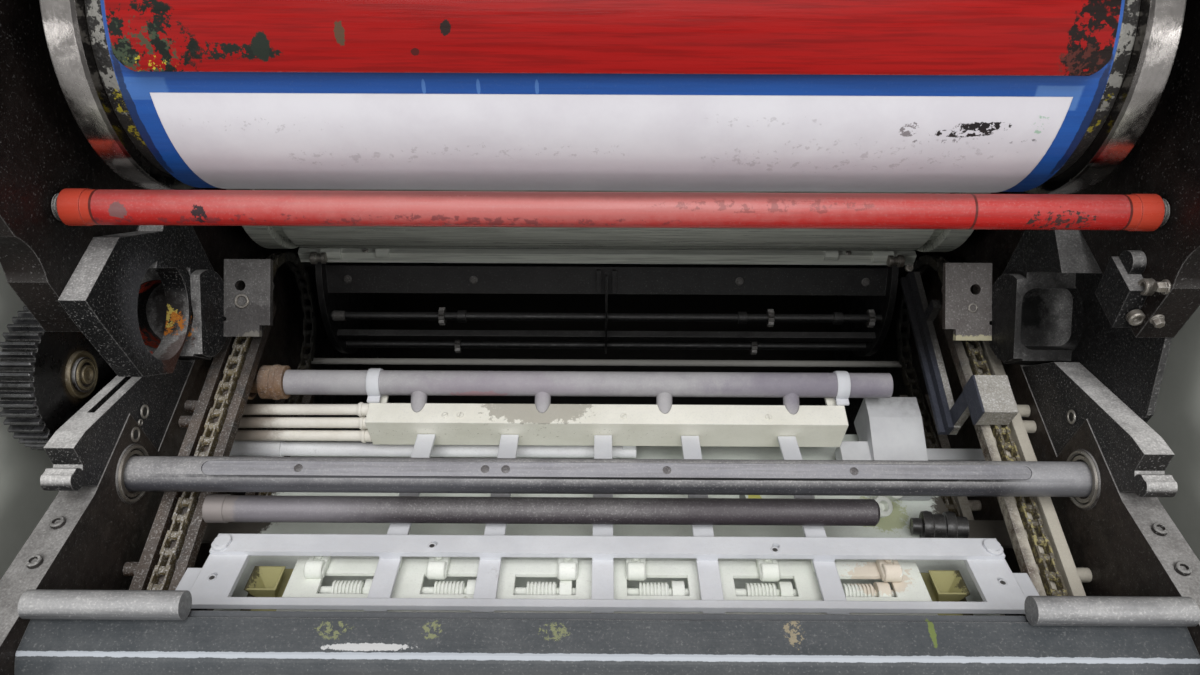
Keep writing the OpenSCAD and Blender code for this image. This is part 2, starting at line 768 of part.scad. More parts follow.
// Slanted duct at the right of the bay
module side_duct() {
  color("white") {
    across(duct_x, duct_x + 64) polygon([[-150, 759], [-150, 772], [-60, 800], [-30, 800], [-30, 744]]);
    block([duct_x - 35, duct_x + 2], [-118, -80], [752, 777]);
    block([duct_x + 62, frame_x - seat], [-100, -84], [756, 768]);
  }
}

// Cam bar in its crusted channel beside the right chain
module cam_bar() {
  color("slategray") translate([0, -99, 826]) rotate([atan2(22, 229), 0, 0]) {
    translate([cam_x, 0, 0]) cube([14, 229, 12]);
    translate([cam_x - 6, 0, -6]) cube([21, 229, 6.5]);
    translate([cam_x + 6, 150, 0]) cube([chain_x - rail_half - seat - cam_x - 6, 12, 40]);
    translate([cam_x + 6, 2, 0]) cube([chain_x - rail_half - seat - cam_x - 6, 20, 62]);
    translate([cam_x + 4, -24, 62]) cube([38, 46, 28]);
  }
}

// Round bars at the two front corners of the bay
module corner_rollers() {
  color("silver") for (side = [-1, 1]) {
    x0 = side > 0 ? frame_x - seat - corner_len : seat - frame_x;
    x_rod(x0, x0 + corner_len, [beam_rear_y + 5, beam_z + corner_r + seat], corner_r);
  }
}

// Bracket on the left frame that carries the idler gear's stub shaft
module gear_bracket() {
  color("dimgray") mirror([1, 0, 0]) {
    block([outer_x + seat, cover_x - 3], [gear_at[0] - 40, gear_at[0] + 40], [855, 870]);
    across(cover_x - 13, cover_x - 3) {
      translate([gear_at[0] - 40, 855]) square([80, gear_at[1] - 855]);
      translate(gear_at) circle(40);
    }
    x_rod(outer_x + 4, cover_x - 12, gear_at, 12);
    x_rod(outer_x + 2, outer_x + 7, gear_at, 17);
  }
}

// Idler gear with straight teeth
module gear_2d() {
  pitch = 360 / gear_teeth;
  root = gear_r - 6;
  difference() {
    polygon([for (i = [0 : gear_teeth - 1]) each [
      root * turn_dir(i * pitch - 0.30 * pitch), gear_r * turn_dir(i * pitch - 0.14 * pitch),
      gear_r * turn_dir(i * pitch + 0.14 * pitch), root * turn_dir(i * pitch + 0.30 * pitch)]]);
    circle(12 + running_fit);
  }
}

module idler_gear() {
  color("black") mirror([1, 0, 0]) {
    across(outer_x + 7.5, outer_x + 7.5 + gear_w) translate(gear_at) gear_2d();
  }
}

// Blanket cylinder: body, necks and journals
module blanket_cylinder() {
  at = [blanket_y, blanket_z];
  half = bearer_w / 2;
  color("silver") {
    x_rod(-body_w / 2, body_w / 2, at, body_r);
    x_rod(-half + ring_w, half - ring_w, at, body_r - 8);
    x_rod(-half - 4, half + 4, at, neck_r);
    x_rod(-outer_x + 4, outer_x - 4, at, journal_r);
  }
}

// Polished rings at both ends of the blanket cylinder
module bearer_rings() {
  color("lightgray") for (side = [-1, 1]) {
    x0 = side > 0 ? bearer_w / 2 - ring_w + 0.2 : -bearer_w / 2;
    across(x0, x0 + ring_w - 0.2) translate([blanket_y, blanket_z]) ring_2d(bearer_r, neck_r + 0.1);
  }
}

// Blue rubber blanket round the cylinder body
module blanket() {
  color("royalblue") across(-body_w / 2, body_w / 2)
    translate([blanket_y, blanket_z]) ring_2d(blanket_r, body_r + 0.1);
}

// White sheet stuck to the blanket
module cover_sheet() {
  color("white") across(-sheet_w / 2, sheet_w / 2) translate([blanket_y, blanket_z]) intersection() {
    ring_2d(blanket_r + 0.1 + sheet_t, blanket_r + 0.1);
    polygon([[0, 0], for (a = [168.4 : 20.2 : 290]) 400 * turn_dir(a)]);
  }
}

// Impression cylinder below the blanket cylinder
module impression_cylinder() {
  at = [impression_y, impression_z];
  half = bearer_w / 2;
  color("darkseagreen") {
    x_rod(-body_w / 2, body_w / 2, at, bearer_r - 1);
    x_rod(-half + ring_w, half - ring_w, at, bearer_r - 12);
    for (side = [-1, 1]) {
      x0 = side > 0 ? half - ring_w : -half;
      x_rod(x0, x0 + ring_w, at, bearer_r);
    }
    x_rod(-outer_x + 4, outer_x - 4, at, journal_r);
  }
}

left_side_frame();
right_side_frame();
base_frame();
front_panel();
front_crossbeam();
upper_housing();
rear_cover();
left_outer_cover();
right_outer_cover();
cylinder_guard();
safety_bar();
left_bearing_block();
right_bearing_block();
left_bracket_arm();
right_bracket_arm();
left_mounting_plate();
right_mounting_plate();
left_chain_rail();
right_chain_rail();
left_chain();
right_chain();
gripper_bar();
air_tube();
tube_coupling();
air_box();
air_hoses();
support_bar();
slotted_shaft();
shaft_key_strip();
lower_shaft();
guide_ladder();
suction_channel();
suction_rollers();
guide_plate();
side_duct();
cam_bar();
corner_rollers();
gear_bracket();
idler_gear();
blanket_cylinder();
bearer_rings();
blanket();
cover_sheet();
impression_cylinder();
delivery_drum();
star_wheels();
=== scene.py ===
"""Finishes and small hardware of a sheet-fed offset press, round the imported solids."""
import logging
import math
from dataclasses import dataclass, replace
from enum import Enum

import bpy
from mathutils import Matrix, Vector


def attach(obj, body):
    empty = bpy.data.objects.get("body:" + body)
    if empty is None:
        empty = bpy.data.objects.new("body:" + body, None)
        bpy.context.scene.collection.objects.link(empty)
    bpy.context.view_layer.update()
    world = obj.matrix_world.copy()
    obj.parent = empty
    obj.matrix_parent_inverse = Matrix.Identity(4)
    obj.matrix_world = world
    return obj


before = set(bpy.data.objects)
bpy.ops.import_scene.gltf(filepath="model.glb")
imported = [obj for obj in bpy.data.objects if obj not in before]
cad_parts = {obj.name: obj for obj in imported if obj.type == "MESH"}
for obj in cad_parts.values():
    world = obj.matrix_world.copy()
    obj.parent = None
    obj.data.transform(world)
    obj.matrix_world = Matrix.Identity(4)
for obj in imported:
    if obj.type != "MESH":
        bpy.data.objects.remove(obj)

LOG = logging.getLogger("press")
Point = tuple[float, float, float]
Steps = tuple[tuple[float, float], ...]
Piece = bpy.types.Object
Node = bpy.types.Node
Socket = bpy.types.NodeSocket
Value = Socket | float | Point | str    # what goes into a socket; a str is a colour code

CURVE_START = 10        # 8-bit display value up to which the display curve is a straight line
CURVE_SLOPE = 3294.0    # slope of that line
CURVE_SHIFT = 0.055
CURVE_POWER = 2.4


def linear(code: str) -> Point:
    """Turns a display colour into a linear one.

    Args:
        code: Colour as # and six hexadecimal digits.

    Returns:
        Its linear red, green and blue.
    """
    values = (int(code[place:place + 2], 16) for place in (1, 3, 5))
    return tuple(((value / 255 + CURVE_SHIFT) / (1 + CURVE_SHIFT)) ** CURVE_POWER if value > CURVE_START
                 else value / CURVE_SLOPE for value in values)


class Axis(Enum):
    """Which way a grain or a brushed mark runs, as the stretch of the pattern along X, Y and Z."""
    NONE = (1.0, 1.0, 1.0)
    ACROSS = (0.04, 1.0, 1.0)


class Blend(Enum):
    """What a Mix node blends, with its first and second input and its output."""
    FLOAT = (2, 3, 0)
    RGBA = (6, 7, 2)


@dataclass(frozen=True)
class Pattern:
    """Cloudy noise about 0.5, and the levels between which it fades in.

    Attributes:
        scale: Cells a metre.
        detail: How many finer layers it has.
        rough: How strong those are.
        levels: Level where it starts and level where it is full.
        shares: Share that it gives at those two levels.
        shift: How far it is moved, so that patterns don't coincide.
    """
    scale: float
    detail: float
    rough: float
    levels: tuple[float, float] = (0.3, 0.7)
    shares: tuple[float, float] = (0.0, 1.0)
    shift: Point = (0.0, 0.0, 0.0)


CLOUDS = Pattern(11.0, 5.0, 0.65, (0.36, 0.66))
STAINS = Pattern(36.0, 6.0, 0.72, shift=(3.0, 1.0, 2.0))
STREAKS = Pattern(300.0, 4.0, 0.6, (0.42, 0.66), shift=(1.0, 6.0, 3.0))
DRIFTS = Pattern(30.0, 6.0, 0.7, (0.30, 0.66), (0.55, 1.0), (5.0, 2.0, 7.0))
GRAINS = Pattern(520.0, 2.0, 0.6, (0.32, 0.64), (0.72, 1.0))
HAZE = Pattern(14.0, 5.0, 0.7, shares=(0.5, 1.0))
# Noise that breaks up the worn edges and their painted highlight.
EDGE_RUBS_AND_GLINTS = Pattern(150.0, 3.0, 0.7, (0.34, 0.56), (0.35, 1.0), (2.0, 8.0, 1.0))
SHEEN = Pattern(60.0, 4.0, 0.7)
UNEVEN = Pattern(160.0, 5.0, 0.72)

POWDER = "#c8c6c4"
BLACK = "#100f0f"
STAIN_START = (0.72, 0.40)       # level of the stains at no dirt, and how far full dirt lowers it
STAIN_FULL = (0.90, 0.35)
LEVEL_FACE = (0.30, 0.90)        # upward part of the normal where powder starts to lie, and lies in full
GRAIN_EDGE = 0.07                # how fast a grain of powder fades
POWDER_ROUGH = 0.5               # roughness that full powder adds
DULLER, GLOSSIER = 0.14, 0.12    # how far the roughness strays
LEAST_ROUGH = 0.04
ROUNDING = 0.0014                # radius in metres that edges show to the eye
ROUNDING_SAMPLES = 3
EDGE_BEND = (0.985, 0.90)        # cosine of the bend where edge wear and the painted edge highlight start, and where they are full
CHIP_DETAIL, CHIP_ROUGH = 5.0, 0.7
CHIP_SHIFT = (1.0, 4.0, 2.0)
CHIP_EDGE = 0.03                 # how fast a chip in a broken patch fades


@dataclass(frozen=True)
class Patch:
    """One place on a surface with a colour of its own, a stain, chip, smudge, scrape or worn edge, or with
    painted shade, shadow, highlight or reflection.

    Attributes:
        at: Middle of the place in metres.
        half: Its half sizes along X, Y and Z.
        colour: Its colour.
        share: How much of that colour it takes.
        soft: How softly its edge fades, as a part of its size.
        ragged: How far noise pushes its edge in and out.
        scale: Cells a metre of that noise.
        cut: Level of noise above which the place shows; 0 shows all of it.
        square: Whether it is a block rather than a ball.
        over: Whether it lies over the powder.
        metal: Share of bare metal in it, or None where it stays as it is.
    """
    at: Point
    half: Point
    colour: str
    share: float = 1.0
    soft: float = 0.08
    ragged: float = 0.4
    scale: float = 70.0
    cut: float = 0.0
    square: bool = False
    over: bool = True
    metal: float | None = None


def both(spot: Patch) -> tuple[Patch, ...]:
    """Returns a patch on the left and the same one on the right."""
    x, y, z = spot.at
    return tuple(replace(spot, at=(side * x, y, z)) for side in (-1, 1))


class Shader:
    """Node tree of one material, with a short call for each kind of node that the finishes use."""

    def __init__(self, name: str) -> None:
        """Starts an empty tree with object coordinates at hand.

        Args:
            name: Name of the material.
        """
        self.material = bpy.data.materials.new(name)
        self.material.use_nodes = True
        self.tree = self.material.node_tree
        self.surface = self.tree.nodes["Principled BSDF"]
        self.place = self.tree.nodes.new("ShaderNodeTexCoord").outputs["Object"]
        self.normal = self.tree.nodes.new("ShaderNodeNewGeometry").outputs["Normal"]
        self.noises: dict[tuple[Pattern, Axis], Socket] = {}

    def fill(self, node: Node, inputs: dict[int | str, Value]) -> None:
        """Fills a node's sockets.

        Args:
            node: The node.
            inputs: Output to link, or number, vector or colour code to set, by the socket's name or place.
        """
        for key, value in inputs.items():
            if isinstance(value, Socket):
                self.tree.links.new(value, node.inputs[key])
            else:
                node.inputs[key].default_value = (*linear(value), 1.0) if isinstance(value, str) else value

    def node(self, kind: str, inputs: dict[int | str, Value], **settings: str | bool | int) -> Node:
        """Adds one node.

        Args:
            kind: Its kind, without the leading ShaderNode.
            inputs: What goes into its sockets.
            settings: What else is set on it.

        Returns:
            The node.
        """
        node = self.tree.nodes.new("ShaderNode" + kind)
        for name, value in settings.items():
            setattr(node, name, value)
        self.fill(node, inputs)
        return node

    def math(self, kind: str, first: Value, second: Value, clamp: bool = False) -> Socket:
        """Returns the result of one sum on two numbers, held between 0 and 1 where that is asked."""
        return self.node("Math", {0: first, 1: second}, operation=kind, use_clamp=clamp).outputs[0]

    def times(self, first: Value, second: Value) -> Socket:
        """Returns the product of two numbers."""
        return self.math("MULTIPLY", first, second)

    def ramp(self, value: Value, low: float, high: float, start: float = 0.0, end: float = 1.0) -> Socket:
        """Returns a number carried smoothly from start at low to end at high, and held past both."""
        inputs = {"Value": value, "From Min": low, "From Max": high, "To Min": start, "To Max": end}
        return self.node("MapRange", inputs, interpolation_type="SMOOTHSTEP").outputs[0]

    def mapped(self, kind: str, shift: Point, size: Point) -> Socket:
        """Returns the object's coordinates times the size, or counted in sizes from the shift for TEXTURE."""
        inputs = {"Vector": self.place, "Location": shift, "Scale": size}
        return self.node("Mapping", inputs, vector_type=kind).outputs[0]

    def noise(self, pattern: Pattern, axis: Axis = Axis.NONE) -> Socket:
        """Adds a pattern's noise, once for each way that it runs.

        Args:
            pattern: The pattern.
            axis: Way that it runs.

        Returns:
            The noise, not yet carried between its levels.
        """
        key = (pattern, axis)
        if key not in self.noises:
            inputs = {"Scale": pattern.scale, "Detail": pattern.detail, "Roughness": pattern.rough,
                      "Vector": self.mapped("POINT", pattern.shift, axis.value)}
            self.noises[key] = self.node("TexNoise", inputs).outputs["Fac"]
        return self.noises[key]

    def cloud(self, pattern: Pattern, axis: Axis = Axis.NONE) -> Socket:
        """Returns the share that a pattern gives, carried between its levels."""
        return self.ramp(self.noise(pattern, axis), *pattern.levels, *pattern.shares)

    def mix(self, amount: Value, first: Value, second: Value, blend: Blend = Blend.RGBA) -> Socket:
        """Returns the first colour or number, turned into the second by an amount from 0 to 1."""
        start, end, result = blend.value
        return self.node("Mix", {0: amount, start: first, end: second}, data_type=blend.name).outputs[result]

    def patch(self, spot: Patch) -> Socket:
        """Adds a patch.

        Args:
            spot: The patch.

        Returns:
            The share that it takes of each place: its own share inside it, 0 outside.
        """
        local = self.mapped("TEXTURE", spot.at, spot.half)
        if spot.square:
            away = self.node("VectorMath", {0: local}, operation="ABSOLUTE").outputs["Vector"]
            sides = self.node("SeparateXYZ", {0: away}).outputs
            reach = self.math("MAXIMUM", self.math("MAXIMUM", sides[0], sides[1]), sides[2])
        else:
            reach = self.node("VectorMath", {0: local}, operation="LENGTH").outputs["Value"]
        if spot.ragged:
            noise = self.noise(Pattern(spot.scale, CHIP_DETAIL, CHIP_ROUGH))
            wave = self.math("SUBTRACT", noise, 0.5)
            reach = self.math("ADD", reach, self.times(wave, spot.ragged * 2.0))
        inside = self.ramp(reach, 1.0 + spot.soft, 1.0 - spot.soft)
        if spot.cut:
            levels = (spot.cut, spot.cut + CHIP_EDGE)
            chips = Pattern(spot.scale, CHIP_DETAIL, CHIP_ROUGH, levels, shift=CHIP_SHIFT)
            inside = self.times(inside, self.cloud(chips))
        return self.times(inside, spot.share)


@dataclass(frozen=True)
class Finish:
    """One finish: a body colour with its clouds, streaks and grime, under powder and with worn edges that are
    also a painted highlight.

    Attributes:
        name: Material name.
        body: Main colour.
        cloud: Second colour, in large soft clouds.
        grime: Colour of dirt and stains.
        dirt: Share of the surface that the dirt covers.
        powder: Powder on level faces, from 0 to 1.
        film: Powder on every face, from 0 to 1.
        speckle: Strength of scattered grains of powder.
        grains: Level of noise above which a grain shows.
        metal: Share of bare metal.
        rough: Middle roughness.
        grain: Way that brushed marks and streaks run.
        streak: Strength of fine streaks along the grain.
        relief: Depth of the surface's own unevenness in metres.
        edge: Colour of its worn or dusted edges, which is also a painted highlight along them.
        edge_wear_and_glint: How much of that colour the edges take, as wear and as painted highlight.
        gloss: Level of the mirror light on what is not metal.
        patches: Places with colours of their own or with painted shade, shadow, highlight or reflection, in
            the order they are laid on.
    """
    name: str
    body: str
    cloud: str
    grime: str = "#1a1715"
    dirt: float = 0.3
    powder: float = 0.3
    film: float = 0.0
    speckle: float = 0.2
    grains: float = 0.60
    metal: float = 0.0
    rough: float = 0.5
    grain: Axis = Axis.NONE
    streak: float = 0.0
    relief: float = 0.0003
    edge: str = POWDER
    edge_wear_and_glint: float = 0.3
    gloss: float = 0.4
    patches: tuple[Patch, ...] = ()

    def colours(self, tree: Shader) -> Socket:
        """Mixes the colour under the powder, of body, clouds, stains and streaks.

        Args:
            tree: Node tree that it is mixed in.

        Returns:
            The colour.
        """
        colour = tree.mix(tree.cloud(CLOUDS, self.grain), self.body, self.cloud)
        levels = (level - self.dirt * drop for level, drop in (STAIN_START, STAIN_FULL))
        colour = tree.mix(tree.ramp(tree.noise(STAINS, self.grain), *levels), colour, self.grime)
        if self.streak:
            lines = tree.times(tree.cloud(STREAKS, self.grain), self.streak)
            colour = tree.mix(lines, colour, self.grime)
        return colour

    def cover(self, tree: Shader) -> Socket:
        """Lays the powder: drifts on level faces, haze on all faces, and loose grains.

        Args:
            tree: Node tree that it is mixed in.

        Returns:
            The share of each place that powder covers.
        """
        upward = tree.node("SeparateXYZ", {0: tree.normal}).outputs["Z"]
        settled = tree.times(tree.times(tree.ramp(upward, *LEVEL_FACE), tree.cloud(DRIFTS)), self.powder)
        haze = tree.times(tree.cloud(HAZE), self.film)
        dust = tree.times(tree.math("MAXIMUM", settled, haze), tree.cloud(GRAINS))
        loose = tree.ramp(tree.noise(GRAINS), self.grains, self.grains + GRAIN_EDGE)
        return tree.math("ADD", dust, tree.times(loose, self.speckle), clamp=True)

    def spots(self, tree: Shader, colour: Value, metal: Value, over: bool) -> tuple[Value, Value]:
        """Lays on the patches that go under or over the powder.

        Args:
            tree: Node tree that they are mixed in.
            colour: Colour so far.
            metal: Share of bare metal so far.
            over: Whether they go over the powder.

        Returns:
            The colour and the share of bare metal with them.
        """
        for spot in (patch for patch in self.patches if patch.over is over):
            share = tree.patch(spot)
            colour = tree.mix(share, colour, spot.colour)
            if spot.metal is not None:
                metal = tree.mix(share, metal, spot.metal, Blend.FLOAT)
        return colour, metal

    def build(self) -> bpy.types.Material:
        """Builds the finish.

        Returns:
            The material.
        """
        tree = Shader(self.name)
        rounded = tree.node("Bevel", {"Radius": ROUNDING}, samples=ROUNDING_SAMPLES).outputs["Normal"]
        colour, metal = self.spots(tree, self.colours(tree), self.metal, False)
        cover = self.cover(tree)
        colour = tree.mix(cover, colour, POWDER)
        bend = tree.node("VectorMath", {0: tree.normal, 1: rounded}, operation="DOT_PRODUCT").outputs["Value"]
        # Edges take the edge colour: wear and dust, and also a painted highlight along them.
        edges = tree.times(tree.ramp(bend, *EDGE_BEND), tree.cloud(EDGE_RUBS_AND_GLINTS))
        colour = tree.mix(tree.times(edges, self.edge_wear_and_glint), colour, self.edge)
        colour, metal = self.spots(tree, colour, metal, True)
        gloss, dull = max(self.rough - GLOSSIER, LEAST_ROUGH), min(self.rough + DULLER, 1.0)
        sheen = tree.ramp(tree.noise(SHEEN, self.grain), *SHEEN.levels, gloss, dull)
        clean = tree.math("SUBTRACT", 1.0, cover, clamp=True)
        bump = tree.node("Bump", {"Distance": self.relief, "Height": tree.noise(UNEVEN, self.grain),
                                  "Normal": rounded})
        tree.fill(tree.surface, {
            "Base Color": colour, "Metallic": tree.times(clean, metal), "Specular IOR Level": self.gloss,
            "Roughness": tree.math("ADD", sheen, tree.times(cover, POWDER_ROUGH), clamp=True),
            "Normal": bump.outputs["Normal"]})
        return tree.material


GREEN_GREY = "#384232"
YELLOW_INK = "#ac9e2c"

# Settings that the castings share, and settings that the pale dusty pieces share.
CASTING = dict(dirt=0.35, speckle=0.3, metal=0.1, gloss=0.25, relief=0.001, edge_wear_and_glint=0.35)
WHITE_DUST = dict(dirt=0.22, speckle=0.15, rough=0.62, edge_wear_and_glint=0.35)

